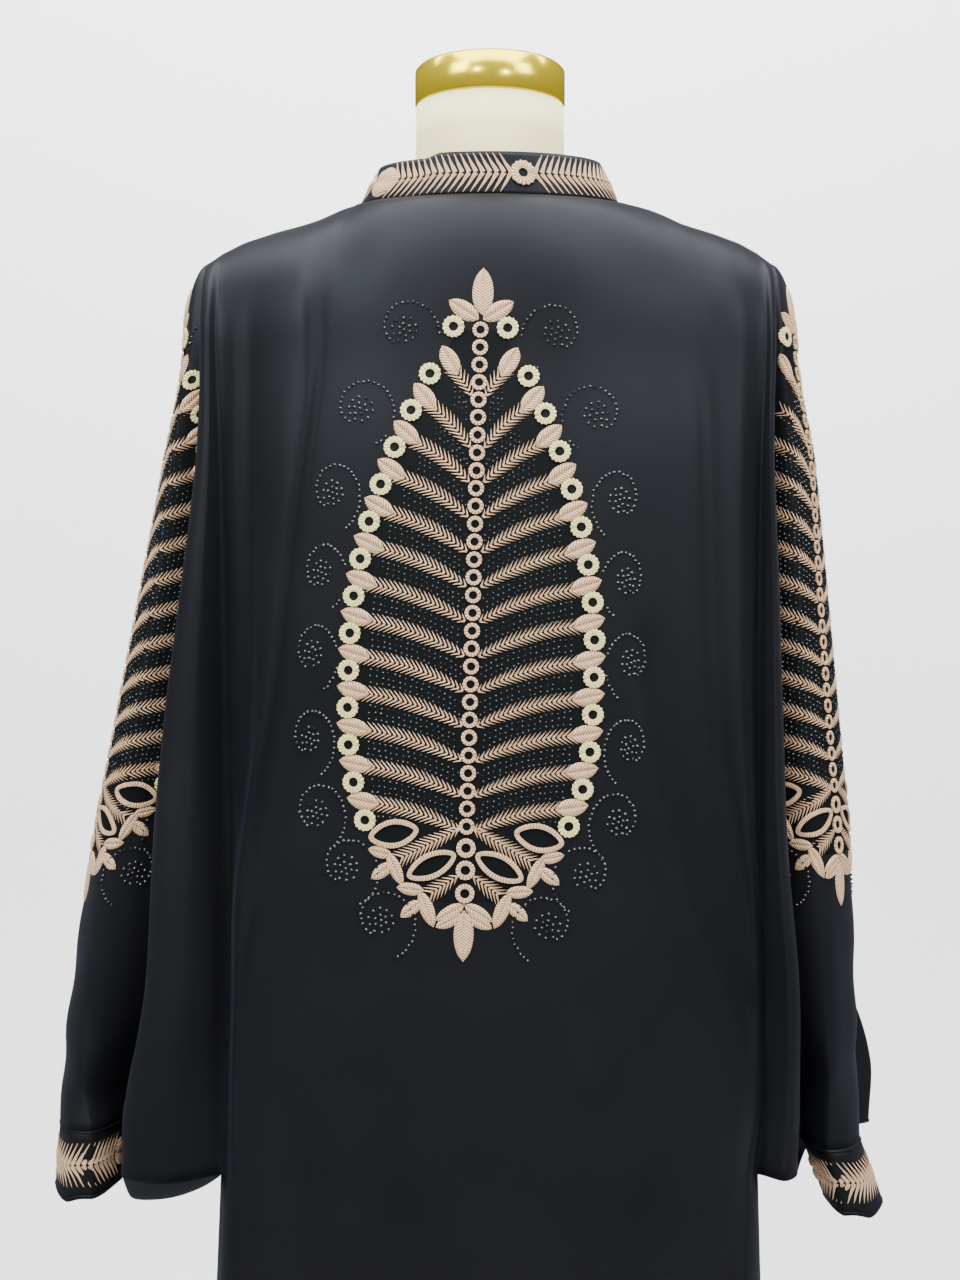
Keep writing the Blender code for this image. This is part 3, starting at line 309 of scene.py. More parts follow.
# Heights at which the folds are given, from under the shoulders to the seam under the bat wing
LEVELS = (1.33, 1.25, 1.15, 1.05, 0.95, 0.85, 0.765, 0.709)
BACK_DEPTH = (0.098, 0.105, 0.106, 0.105, 0.104, 0.105, 0.106, 0.107)
FRONT_DEPTH = (0.104, 0.120, 0.126, 0.126, 0.127, 0.128, 0.129, 0.130)
BODY_HALF_WIDTH = 0.212
BODY_SQUARENESS = 2.6

# Folds on the body: name, distance from the middle at each level, and how proud of the body's curve
BODY_FOLDS = {
    "left": (
        ("blade", (0.070, 0.070, 0.070, 0.070, 0.072, 0.074, 0.075, 0.076), 0.000),
        ("trough", (0.118, 0.126, 0.140, 0.152, 0.166, 0.176, 0.180, 0.180), -0.004),
        ("ridge", (0.138, 0.147, 0.158, 0.168, 0.180, 0.187, 0.190, 0.190), 0.005),
        ("bust", (0.070, 0.070, 0.072, 0.072, 0.074, 0.074, 0.075, 0.076), 0.000),
        ("front_trough", (0.115, 0.125, 0.130, 0.135, 0.140, 0.145, 0.148, 0.150), -0.004),
        ("front_ridge", (0.160, 0.168, 0.172, 0.176, 0.180, 0.184, 0.186, 0.186), 0.004),
    ),
    "right": (
        ("blade", (0.070, 0.070, 0.070, 0.070, 0.072, 0.074, 0.075, 0.076), 0.000),
        ("trough", (0.158, 0.162, 0.1645, 0.170, 0.183, 0.1895, 0.186, 0.180), -0.006),
        ("ridge", (0.184, 0.184, 0.184, 0.186, 0.1935, 0.200, 0.198, 0.189), 0.004),
        ("bust", (0.070, 0.070, 0.072, 0.072, 0.074, 0.074, 0.075, 0.076), 0.000),
        ("front_trough", (0.112, 0.120, 0.128, 0.136, 0.142, 0.148, 0.150, 0.150), -0.004),
        ("front_ridge", (0.158, 0.165, 0.171, 0.177, 0.182, 0.186, 0.186, 0.184), 0.004),
    ),
}

# %% Wings and arms
# Folds of the wings: name, distance from the middle at each level, and distance to the back (+Y)
WING_FOLDS = {
    "left": (
        ("valley", (0.2037, 0.2005, 0.199, 0.198, 0.197, 0.198, 0.1996, 0.1996),
         (0.054, 0.053, 0.049, 0.046, 0.045, 0.046, 0.048, 0.050)),
        ("wing", (0.2105, 0.210, 0.215, 0.221, 0.225, 0.229, 0.238, 0.240),
         (0.060, 0.066, 0.070, 0.072, 0.074, 0.075, 0.074, 0.070)),
        ("fold", (0.2170, 0.2192, 0.230, 0.2427, 0.251, 0.2566, 0.2715, 0.2768),
         (0.054, 0.057, 0.060, 0.060, 0.060, 0.060, 0.056, 0.048)),
        ("tuck", (0.2155, 0.208, 0.205, 0.205, 0.212, 0.228, 0.276, 0.264),
         (0.036, 0.026, 0.020, 0.016, 0.012, 0.006, -0.012, -0.012)),
        ("front_tuck", (0.2165, 0.218, 0.224, 0.232, 0.240, 0.250, 0.276, 0.264),
         (-0.046, -0.057, -0.066, -0.070, -0.066, -0.048, -0.012, -0.012)),
        ("front_return", (0.2175, 0.222, 0.232, 0.244, 0.256, 0.268, 0.286, 0.278),
         (-0.053, -0.066, -0.078, -0.084, -0.086, -0.080, -0.060, -0.052)),
        ("front_fold", (0.2185, 0.229, 0.243, 0.258, 0.270, 0.280, 0.286, 0.284),
         (-0.060, -0.076, -0.090, -0.098, -0.102, -0.100, -0.094, -0.086)),
        ("front_wing", (0.211, 0.214, 0.221, 0.228, 0.234, 0.240, 0.243, 0.242),
         (-0.066, -0.086, -0.102, -0.112, -0.116, -0.114, -0.108, -0.100)),
        ("front_valley", (0.2037, 0.2005, 0.199, 0.198, 0.197, 0.198, 0.1996, 0.1996),
         (-0.058, -0.064, -0.070, -0.072, -0.072, -0.070, -0.066, -0.060)),
    ),
    "right": (
        ("valley", (0.2044, 0.2020, 0.2012, 0.201, 0.2025, 0.2080, 0.2065, 0.1990),
         (0.056, 0.056, 0.053, 0.050, 0.048, 0.047, 0.047, 0.050)),
        ("wing", (0.2095, 0.2075, 0.2092, 0.2105, 0.213, 0.2200, 0.2200, 0.2175),
         (0.060, 0.065, 0.068, 0.069, 0.070, 0.071, 0.070, 0.068)),
        ("fold", (0.2134, 0.2120, 0.2153, 0.218, 0.2215, 0.2300, 0.2310, 0.2303),
         (0.054, 0.053, 0.054, 0.055, 0.056, 0.056, 0.054, 0.048)),
        ("tuck", (0.2125, 0.202, 0.195, 0.190, 0.192, 0.203, 0.238, 0.227),
         (0.034, 0.022, 0.016, 0.012, 0.010, 0.006, -0.012, -0.012)),
        ("front_tuck", (0.2165, 0.218, 0.222, 0.228, 0.232, 0.234, 0.238, 0.227),
         (-0.046, -0.057, -0.066, -0.070, -0.066, -0.048, -0.012, -0.012)),
        ("front_return", (0.2175, 0.2215, 0.229, 0.240, 0.248, 0.250, 0.252, 0.246),
         (-0.053, -0.066, -0.080, -0.090, -0.094, -0.090, -0.078, -0.066)),
        ("front_fold", (0.2185, 0.226, 0.238, 0.252, 0.268, 0.290, 0.318, 0.316),
         (-0.060, -0.076, -0.092, -0.104, -0.112, -0.116, -0.114, -0.106)),
        ("front_wing", (0.211, 0.213, 0.219, 0.226, 0.234, 0.244, 0.252, 0.252),
         (-0.066, -0.086, -0.102, -0.112, -0.118, -0.120, -0.118, -0.110)),
        ("front_valley", (0.2044, 0.2020, 0.2012, 0.201, 0.2015, 0.2030, 0.2030, 0.1990),
         (-0.058, -0.064, -0.070, -0.072, -0.072, -0.070, -0.066, -0.060)),
    ),
}

# Sections of the sleeve's outer face: the same columns, from the first level to the pinch above the wrist
ARM_FOLDS = {
    "left": (
        ("arm_back", (0.229, 0.240, 0.252, 0.266, 0.282, 0.297, 0.307),
         (0.030, 0.034, 0.036, 0.036, 0.035, 0.033, 0.032)),
        ("arm_side", (0.2345, 0.2485, 0.265, 0.283, 0.3005, 0.3155, 0.3245),
         (0.014, 0.016, 0.018, 0.018, 0.018, 0.016, 0.018)),
        ("arm_outer", (0.2375, 0.252, 0.2707, 0.290, 0.309, 0.3243, 0.3322),
         (-0.004, -0.008, -0.010, -0.012, -0.013, -0.013, -0.010)),
        ("arm_front", (0.230, 0.241, 0.257, 0.274, 0.291, 0.306, 0.316),
         (-0.036, -0.047, -0.054, -0.060, -0.063, -0.063, -0.060)),
    ),
    "right": (
        ("arm_back", (0.222, 0.2275, 0.230, 0.235, 0.241, 0.250, 0.256),
         (0.033, 0.037, 0.041, 0.042, 0.042, 0.040, 0.036)),
        ("arm_side", (0.2335, 0.2450, 0.2505, 0.257, 0.265, 0.271, 0.273),
         (0.014, 0.017, 0.024, 0.027, 0.026, 0.020, 0.019)),
        ("arm_outer", (0.238, 0.2523, 0.262, 0.271, 0.2798, 0.2845, 0.2864),
         (-0.008, -0.011, -0.008, -0.006, -0.006, -0.010, -0.012)),
        ("arm_front", (0.230, 0.242, 0.252, 0.261, 0.269, 0.274, 0.274),
         (-0.038, -0.050, -0.056, -0.060, -0.062, -0.062, -0.058)),
    ),
}
# Where the sleeve closes into a tube, it stands this far outside the wing's own corner
PINCH_STEP = (0.004, 0.0, 0.004)

# %% Wrists and skirt
# Rings at the wrist: cuff seam and cuff edge, as inner, back, side, outer and front points (x, y), and height
WRIST_RINGS = {
    "left": {
        "seam": (((0.285, -0.012), (0.301, 0.036), (0.320, 0.030), (0.3335, -0.004), (0.321, -0.060)), 0.738),
        "edge": (((0.288, -0.014), (0.300, 0.034), (0.321, 0.032), (0.3374, -0.003), (0.325, -0.060)), 0.686),
    },
    "right": {
        "seam": (((0.243, -0.013), (0.254, 0.034), (0.273, 0.028), (0.2878, -0.006), (0.276, -0.056)), 0.723),
        "edge": (((0.262, -0.016), (0.268, 0.030), (0.289, 0.026), (0.3056, -0.004), (0.296, -0.054)), 0.672),
    },
}

# Skirt: hem points (x, y) under the body's folds, and the side seam's top and foot
HEM_HEIGHT = 0.026
HEM_POINTS = {
    "left": {
        "back": ((0.0, 0.151), (0.084, 0.127), (0.129, 0.143), (0.174, 0.106), (0.212, 0.094)),
        "front": ((0.0, -0.158), (0.082, -0.170), (0.126, -0.136), (0.180, -0.140), (0.212, -0.084)),
        "side": (0.236, 0.004),
    },
    "right": {
        "back": ((0.0, 0.151), (0.078, 0.158), (0.132, 0.120), (0.176, 0.122), (0.206, 0.080)),
        "front": ((0.0, -0.158), (0.084, -0.150), (0.128, -0.164), (0.176, -0.120), (0.208, -0.098)),
        "side": (0.228, -0.006),
    },
}
SIDE_SEAM_TOP = {"left": (0.2065, 0.0), "right": (0.2045, 0.0)}
WING_BOTTOM = 0.709
# How far the turned-up cloth sags below the wing's lower edge, and how soon and how squarely it does
POUCH_DIP = {"left": 0.037, "right": 0.012}
POUCH_TURN = 0.3
POUCH_SQUARENESS = 0.6

# %% How finely the cloth is divided
FINE = 4
BACK_STEPS = tuple(FINE * count for count in (3, 3, 2, 3, 2, 2, 3))
ARM_STEPS = tuple(FINE * count for count in (2, 2, 2, 3, 3))
FRONT_STEPS = tuple(FINE * count for count in (1, 2, 2, 2, 3, 2, 3, 3))
SIDE_STEPS = 3 * FINE
YOKE_ROWS = 16
PINCH_HEIGHT = 0.765
UPPER_ROWS = 62
POUCH_ROWS = 6
SKIRT_ROWS = 56
FRONT_EDGE_GAP = 0.0012
SIDES = {"left": 1, "right": -1}


def heights(top, bottom, count):
    """Evenly spaced heights below the top one, ending at the bottom one."""
    return [top + (bottom - top) * k / count for k in range(1, count + 1)]


print("cloth columns", sum(BACK_STEPS), sum(ARM_STEPS), sum(FRONT_STEPS))

# %% [markdown]
# A value between two levels is read on a smooth cubic, so that a fold runs down without kinks. A section is
# a curve through its folds that leaves each one in step with its neighbours.

# %% Reading between levels and folds
def read_between(stations, values, at):
    """A smooth value at a station, through values given at falling stations."""
    last = len(stations) - 1
    if at >= stations[0]:
        return values[0]
    if at <= stations[last]:
        return values[last]
    i = next(k for k in range(last) if stations[k + 1] <= at)
    part = (stations[i] - at) / (stations[i] - stations[i + 1])
    before = values[max(i - 1, 0)]
    after = values[min(i + 2, last)]
    start = (values[i + 1] - before) / 2
    end = (after - values[i]) / 2
    part2 = part * part
    part3 = part2 * part
    return (
        (2 * part3 - 3 * part2 + 1) * values[i]
        + (part3 - 2 * part2 + part) * start
        + (3 * part2 - 2 * part3) * values[i + 1]
        + (part3 - part2) * end
    )


def curve_through(points, steps, before, after):
    """Points on a smooth curve through the given ones, with so many steps in each span."""
    chain = [before, *points, after]
    found = []
    for i, count in enumerate(steps):
        a, b, c, d = chain[i : i + 4]
        reach = (c - b).length
        start = (c - a) * (reach / max((b - a).length + reach, 1e-9))
        end = (d - b) * (reach / max((d - c).length + reach, 1e-9))
        for k in range(count):
            t = k / count
            found.append(
                b * (2 * t**3 - 3 * t**2 + 1)
                + start * (t**3 - 2 * t**2 + t)
                + c * (3 * t**2 - 2 * t**3)
                + end * (t**3 - t**2)
            )
    found.append(points[-1].copy())
    return found


def mirrored(point):
    return Vector((-point.x, point.y))


def body_point(fold, height, direction):
    """A fold's point on the body's rounded section: direction is +1 on the back and -1 on the front."""
    _, reaches, proud = fold
    depth = read_between(LEVELS, BACK_DEPTH if direction > 0 else FRONT_DEPTH, height)
    reach = read_between(LEVELS, reaches, height)
    share = max(1 - (reach / BODY_HALF_WIDTH) ** BODY_SQUARENESS, 0.0)
    return Vector((reach, direction * (depth * share ** (1 / BODY_SQUARENESS) + proud)))


def wing_point(fold, height):
    _, reaches, depths = fold
    stations = LEVELS[: len(reaches)]
    return Vector((read_between(stations, reaches, height), read_between(stations, depths, height)))


def back_folds(side, height):
    body = {fold[0]: fold for fold in BODY_FOLDS[side]}
    wing = {fold[0]: fold for fold in WING_FOLDS[side]}
    points = [Vector((0.0, read_between(LEVELS, BACK_DEPTH, height)))]
    points += [body_point(body[name], height, 1) for name in ("blade", "trough", "ridge")]
    points += [wing_point(wing[name], height) for name in ("valley", "wing", "fold", "tuck")]
    return points


def front_folds(side, height):
    """From the sleeve's front seam to the centre front."""
    body = {fold[0]: fold for fold in BODY_FOLDS[side]}
    wing = {fold[0]: fold for fold in WING_FOLDS[side]}
    names = ("front_tuck", "front_return", "front_fold", "front_wing", "front_valley")
    points = [wing_point(wing[name], height) for name in names]
    points += [body_point(body[name], height, -1) for name in ("front_ridge", "front_trough", "bust")]
    points.append(Vector((0.0, -read_between(LEVELS, FRONT_DEPTH, height))))
    return points


# %% Sections through both wings
def upper_section(side, height):
    """Back, sleeve and front points at a height above the pinch, as one smooth line round the arm."""
    back = back_folds(side, height)
    arm = [wing_point(fold, height) for fold in ARM_FOLDS[side]]
    front = front_folds(side, height)
    line = [*back, *arm, *front]
    steps = BACK_STEPS + ARM_STEPS + FRONT_STEPS
    found = curve_through(line, steps, mirrored(back[1]), mirrored(front[-2]))
    a = sum(BACK_STEPS)
    b = a + sum(ARM_STEPS)
    return found[: a + 1], found[a : b + 1], found[b:]


def pouch_section(side, height):
    """Back and front points at a height below the pinch, where the wing is closed on its outer side."""
    back = back_folds(side, height)
    front = front_folds(side, height)
    line = [*back, *front[1:]]
    found = curve_through(line, BACK_STEPS + FRONT_STEPS, mirrored(back[1]), mirrored(front[-2]))
    a = sum(BACK_STEPS)
    return found[: a + 1], found[a:]


def fold_place(index, steps):
    """A fine column's place among the folds, as a fold number and a fraction."""
    for fold, count in enumerate(steps):
        if index < count:
            return fold + index / count
        index -= count
    return float(len(steps))


def shoulder_point(reach):
    stations = [-point[0] for point in SHOULDER_LINE]
    levels = [point[1] for point in SHOULDER_LINE]
    return Vector((reach, 0.0, read_between(stations, levels, -reach)))


def neckline_point(turn, front):
    """A point of the neckline, where turn runs from 0 at the centre to 1 at the side of the neck."""
    angle = turn * math.pi / 2
    across = NECK_HALF_WIDTH * math.sin(angle)
    if front:
        drop = NECK_FRONT_DROP * max(math.cos(angle), 0.0) ** NECK_FRONT_DIP
        return Vector((across, -NECK_FRONT_DEPTH * math.cos(angle), NECK_SIDE_HEIGHT - drop))
    drop = NECK_BACK_DROP * math.cos(angle)
    return Vector((across, NECK_BACK_DEPTH * math.cos(angle), NECK_SIDE_HEIGHT - drop))


def top_point(place, front):
    """The upper end of a column: on the neckline, then along the shoulder line to the head of the sleeve."""
    if place <= 2:
        return neckline_point(place / 2, front)
    if place >= 6:
        return shoulder_point(SHOULDER_FOLD_REACH[-1])
    low = int(place) - 2
    part = place - int(place)
    reach = SHOULDER_FOLD_REACH[low] * (1 - part) + SHOULDER_FOLD_REACH[low + 1] * part
    return shoulder_point(reach)


def yoke_point(top, low, turn):
    """A point on the quarter-ellipse from the shoulder or neckline down to the first level."""
    angle = turn * math.pi / 2
    run = math.sin(angle)
    return Vector(
        (
            top.x + (low.x - top.x) * run,
            top.y + (low.y - top.y) * run,
            low.z + (top.z - low.z) * math.cos(angle),
        )
    )


def at_height(points, height):
    return [Vector((point.x, point.y, height)) for point in points]


# %% Yoke, skirt, pouch, wrist and collar
def yoke_rows(tops, lows):
    rows = []
    for k in range(YOKE_ROWS):
        rows.append([yoke_point(top, low, k / YOKE_ROWS) for top, low in zip(tops, lows)])
    return rows


def side_arc(side, back_end, front_end, height, share):
    """The body's side below the wing, from the back's outermost fold round the seam to the front's."""
    seam_top = Vector(SIDE_SEAM_TOP[side])
    seam_foot = Vector(HEM_POINTS[side]["side"])
    seam = seam_top.lerp(seam_foot, share)
    line = [back_end, seam, front_end]
    before = back_end + Vector((-0.02, 0.03))
    after = front_end + Vector((-0.02, -0.03))
    return at_height(curve_through(line, (SIDE_STEPS, SIDE_STEPS), before, after), height)


def skirt_row(side, height):
    """Back and front points of the skirt: each fold falls straight from the body to the hem."""
    share = (WING_BOTTOM - height) / (WING_BOTTOM - HEM_HEIGHT)
    back_top = back_folds(side, WING_BOTTOM)[:5]
    front_top = front_folds(side, WING_BOTTOM)[4:]
    back_hem = [Vector(point) for point in HEM_POINTS[side]["back"]]
    front_hem = [Vector(point) for point in reversed(HEM_POINTS[side]["front"])]
    back = [top.lerp(hem, share) for top, hem in zip(back_top, back_hem)]
    front = [top.lerp(hem, share) for top, hem in zip(front_top, front_hem)]
    seam = Vector(SIDE_SEAM_TOP[side]).lerp(Vector(HEM_POINTS[side]["side"]), share)
    back_line = curve_through(back, BACK_STEPS[:4], mirrored(back[1]), seam)
    front_line = curve_through(front, FRONT_STEPS[4:], seam, mirrored(front[-2]))
    arc = side_arc(side, back[-1], front[0], height, share)
    return at_height(back_line, height), arc, at_height(front_line, height)


def pouch_rows(back_edge, front_edge, arc, dip):
    """The front's cloth turned under the wing, up to the seam behind it: a row for each step."""
    rows = []
    count = len(arc) - 1
    wing_columns = len(front_edge) - 1
    for k in range(count + 1):
        share = k / count
        row = []
        for i, (front, back) in enumerate(zip(front_edge, back_edge)):
            point = front.lerp(back, share)
            # The front's outer corner first turns in, so that the cloth passes inside the cuff
            point.x = front.x + (back.x - front.x) * share**POUCH_TURN
            inside = 0 < i < wing_columns
            spread = math.sin(math.pi * i / wing_columns) ** POUCH_SQUARENESS if inside else 0.0
            point.z -= dip * math.sin(math.pi * share) * spread
            row.append(point)
        row[-1] = arc[count - k]
        rows.append(row)
    return rows


def wrist_ring(ring):
    points, height = ring
    line = [Vector(point) for point in points]
    closed = [*line, line[0]]
    return at_height(curve_through(closed, ARM_STEPS, line[-1], line[1]), height)


def collar_point(place, front, share):
    """A point of the standing band: share runs from 0 at its top edge to 1 at the neckline."""
    foot = neckline_point(place / 2, front)
    angle = place * math.pi / 4
    depth = -COLLAR_TOP_FRONT_DEPTH if front else COLLAR_TOP_BACK_DEPTH
    across = COLLAR_TOP_HALF_WIDTH * math.sin(angle)
    top = Vector((across, depth * math.cos(angle), foot.z + COLLAR_HEIGHT))
    point = top.lerp(foot, share)
    if front and place == 0:
        point.x = FRONT_EDGE_GAP / 2
    return point

# %% [markdown]
# ## Cutting the cloth
# Each cut piece starts as a flat grid, whose points are laid on the rows of the sections. Smaller creases are
# then pressed in along the surface's own direction, and the sheet gets its thickness on the inside. A cloth
# simulation would give livelier folds, but not these folds, and they are what the garment is known by.

# %% A grid laid over rows of points
CLOTH_THICKNESS = 0.0011
SHARP_EDGE = math.radians(55)
WELD_DISTANCE = 2e-5
cut_sheets = {}


def cloth_grid(rows, turned_over):
    """A grid whose rows run down and whose columns run along the given points."""
    across, down = len(rows[0]) - 1, len(rows) - 1
    made = bmesh.new()
    bmesh.ops.create_grid(made, x_segments=across, y_segments=down, size=1)
    for vert in made.verts:
        column = round((vert.co.x + 1) / 2 * across)
        row = round((1 - vert.co.y) / 2 * down)
        vert.co = rows[row][column]
    if turned_over:
        bmesh.ops.reverse_faces(made, faces=made.faces)
    return made


def joined(grids):
    """Several grids as one sheet, welded where they meet."""
    whole = grids[0]
    for grid in grids[1:]:
        carrier = bpy.data.meshes.new("carrier")
        grid.to_mesh(carrier)
        grid.free()
        whole.from_mesh(carrier)
        bpy.data.meshes.remove(carrier)
    bmesh.ops.remove_doubles(whole, verts=whole.verts, dist=WELD_DISTANCE)
    return whole


def on_side(rows, sign):
    return [[Vector((sign * point.x, point.y, point.z)) for point in row] for row in rows]


def shown_piece(name, made, look, slot, *nodes):
    """The bmesh as a piece of the object that rides on the frame and stands for some of its nodes."""
    mesh = bpy.data.meshes.new(name)
    made.to_mesh(mesh)
    made.free()
    mesh.materials.append(look)
    mesh.shade_smooth()
    mesh.set_sharp_from_angle(angle=SHARP_EDGE)
    piece = bpy.data.objects.new(name, mesh)
    bpy.context.scene.collection.objects.link(piece)
    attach(piece, "root")
    if nodes:
        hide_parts(*nodes)
    print(name, len(mesh.polygons), "faces")
    return piece


def cloth_piece(name, made, node):
    """A sheet of crepe: what lies on it is seated on its outer face, and its thickness is inside that."""
    area = sum(face.calc_area() for face in made.faces)
    made.normal_update()
    cut_sheets[node] = BVHTree.FromBMesh(made)
    piece = shown_piece(name, made, CREPE, "abaya_cloth", node)
    wall = piece.modifiers.new("wall", "SOLIDIFY")
    wall.thickness = CLOTH_THICKNESS
    wall.offset = -1
    print("  one side", round(area, 4), "square metres")
    return piece


# %% [markdown]
# A crease is a line down the cloth with a width and a height. Light catches a narrow ridge as a fine bright
# line and a trough as a soft dark one, so both kinds are listed with where they run and where they end.

# %% Creases of the back
CREASE_FADE = 0.07
BACK_CREASES = (
    # Stations as (height, distance across), half width, rise
    (((1.310, 0.1310), (1.182, 0.1459), (1.133, 0.1517), (1.049, 0.1640), (0.993, 0.1770), (0.880, 0.1890)),
     0.0048, 0.0026),
    (((1.120, 0.1250), (1.041, 0.1400), (0.993, 0.1560), (0.913, 0.1740), (0.860, 0.1860)), 0.0045, 0.0020),
    (((0.980, 0.1350), (0.901, 0.1481), (0.801, 0.1597), (0.701, 0.1670), (0.400, 0.1720), (0.150, 0.1760)),
     0.0110, 0.0045),
    (((1.345, 0.1860), (1.240, 0.1900), (1.100, 0.1885), (0.980, 0.1880)), 0.0060, 0.0020),
    (((1.335, 0.1800), (1.100, 0.1790), (0.960, 0.1830)), 0.0060, -0.0026),
    (((0.740, 0.1390), (0.500, 0.1410), (0.300, 0.1450), (0.060, 0.1480)), 0.0140, -0.0050),
    (((0.860, 0.0500), (0.500, 0.0680), (0.100, 0.0780)), 0.0220, -0.0035),
    (((1.300, -0.1590), (1.161, -0.1616), (1.089, -0.1652), (1.040, -0.1703), (0.950, -0.1840),
      (0.880, -0.1950)), 0.0050, -0.0034),
    (((1.290, -0.1480), (1.100, -0.1520), (1.000, -0.1600)), 0.0090, 0.0020),
    (((1.110, -0.1160), (1.028, -0.1277), (0.956, -0.1477), (0.887, -0.1706), (0.821, -0.1966)),
     0.0070, -0.0046),
    (((1.080, -0.1080), (1.010, -0.1180), (0.940, -0.1370), (0.870, -0.1610), (0.790, -0.1880)),
     0.0100, 0.0026),
    (((0.700, -0.1800), (0.500, -0.1830), (0.300, -0.1860), (0.060, -0.1890)), 0.0080, 0.0032),
    (((0.820, -0.0700), (0.450, -0.0800), (0.080, -0.0860)), 0.0220, 0.0035),
    (((0.700, -0.1200), (0.400, -0.1290), (0.080, -0.1330)), 0.0150, -0.0045),
    (((1.000, 0.2360), (0.850, 0.2420), (0.740, 0.2480)), 0.0100, 0.0022),
)


def crease_height(point, creases):
    """How far the creases lift a point of the cloth; each fades out at its two ends."""
    total = 0.0
    for stations, half_width, rise in creases:
        levels = [station[0] for station in stations]
        ends = min(levels[0] - point.z, point.z - levels[-1]) / CREASE_FADE + 0.5
        if ends <= 0:
            continue
        fade = min(ends, 1.0)
        fade = fade * fade * (3 - 2 * fade)
        line = read_between(levels, [station[1] for station in stations], point.z)
        total += rise * fade * math.exp(-(((point.x - line) / half_width) ** 2))
    return total


def press(made, creases):
    """Moves the cloth in or out along its creases."""
    made.normal_update()
    moves = [(vert, vert.normal * crease_height(vert.co, creases)) for vert in made.verts]
    for vert, move in moves:
        vert.co += move


# %% Sections, yokes and pouches of both sides
sides = {}
for side, sign in SIDES.items():
    back_levels, arm_levels, front_levels = [], [], []
    for height in [LEVELS[0], *heights(LEVELS[0], PINCH_HEIGHT, UPPER_ROWS)]:
        back, arm, front = upper_section(side, height)
        back_levels.append(at_height(back, height))
        arm_levels.append(at_height(arm, height))
        front_levels.append(at_height(front, height))
    back_places = [fold_place(i, BACK_STEPS) for i in range(sum(BACK_STEPS) + 1)]
    front_places = [len(FRONT_STEPS) - fold_place(i, FRONT_STEPS) for i in range(sum(FRONT_STEPS) + 1)]
    back_rows = yoke_rows([top_point(place, False) for place in back_places], back_levels[0]) + back_levels
    front_rows = yoke_rows([top_point(place, True) for place in front_places], front_levels[0]) + front_levels
    head = shoulder_point(SHOULDER_FOLD_REACH[-1])
    arm_rows = yoke_rows([head] * len(arm_levels[0]), arm_levels[0]) + arm_levels
    for height in heights(PINCH_HEIGHT, WING_BOTTOM, POUCH_ROWS):
        back, front = pouch_section(side, height)
        back_rows.append(at_height(back, height))
        front_rows.append(at_height(front, height))
    wing = sum(BACK_STEPS[4:])
    body = sum(BACK_STEPS[:4]) + 1
    arc = skirt_row(side, WING_BOTTOM)[1]
    skirt = [(back_rows[-1][:body], arc, front_rows[-1][wing:])]
    skirt += [skirt_row(side, height) for height in heights(WING_BOTTOM, HEM_HEIGHT, SKIRT_ROWS)]
    wing_edge = list(reversed(back_rows[-1][-wing - 1:]))
    pouch = pouch_rows(wing_edge, front_rows[-1][: wing + 1], arc, POUCH_DIP[side])
    sides[side] = {
        "back": on_side(back_rows, sign),
        "back_skirt": on_side([row[0] + row[1][1: SIDE_STEPS + 1] for row in skirt], sign),
        "arm": on_side(arm_rows, sign),
        "front": on_side(front_rows, sign),
        "pouch": on_side(pouch, sign),
        "front_skirt": on_side([row[1][SIDE_STEPS:] + row[2][1:] for row in skirt], sign),
    }
print("rows of the back", len(sides["left"]["back"]), "and its skirt", len(sides["left"]["back_skirt"]))

# %% [markdown]
# ### Back panel
# The back is cut in one with the wings, so its grid runs from one sleeve seam to the other, and a second,
# narrower grid carries on as the skirt.

# %% The back panel
def across_both(part):
    """Rows from the right side's edge, over the centre, to the left side's edge."""
    both = zip(sides["left"][part], sides["right"][part])
    return [list(reversed(right)) + left[1:] for left, right in both]


back_sheet = joined([cloth_grid(across_both("back"), True), cloth_grid(across_both("back_skirt"), True)])
press(back_sheet, BACK_CREASES)
back_piece = cloth_piece("cloth_back", back_sheet, "back_panel")

# %% [markdown]
# ### Fronts
# Each front runs from the sleeve's front seam to the centre. Under the wing it turns up as the pouch, to the
# seam that shows on the back. The photograph doesn't show the front, so its folds are plain and soft.

# %% The front panels
FRONT_CREASES = {
    "left": (
        (((1.330, 0.0450), (1.000, 0.0560), (0.600, 0.0640), (0.080, 0.0700)), 0.0150, -0.0042),
        (((1.200, 0.1000), (0.900, 0.1090), (0.400, 0.1160), (0.080, 0.1200)), 0.0120, 0.0036),
        (((1.280, 0.1500), (1.050, 0.1580), (0.850, 0.1680)), 0.0070, 0.0028),
        (((0.680, 0.1500), (0.350, 0.1560), (0.080, 0.1580)), 0.0130, -0.0044),
    ),
    "right": (
        (((1.320, -0.0520), (1.020, -0.0600), (0.560, -0.0700), (0.080, -0.0760)), 0.0150, -0.0040),
        (((1.180, -0.1080), (0.860, -0.1140), (0.420, -0.1220), (0.080, -0.1260)), 0.0120, 0.0034),
        (((1.260, -0.1540), (1.080, -0.1600), (0.880, -0.1720)), 0.0070, 0.0030),
        (((0.680, -0.1560), (0.330, -0.1600), (0.080, -0.1610)), 0.0130, -0.0040),
    ),
}
for side, sign in SIDES.items():
    parts = [cloth_grid(sides[side][part], sign > 0) for part in ("front", "pouch", "front_skirt")]
    front_sheet = joined(parts)
    press(front_sheet, FRONT_CREASES[side])
    cloth_piece("cloth_front_" + side, front_sheet, "front_panel_" + side)

# %% [markdown]
# ### Sleeves
# A sleeve hangs from the shoulder's end, is open towards the wing down to the forearm, and closes into a tube
# above the wrist. Light wrinkles run round its lower part, where the cloth rests on the cuff.

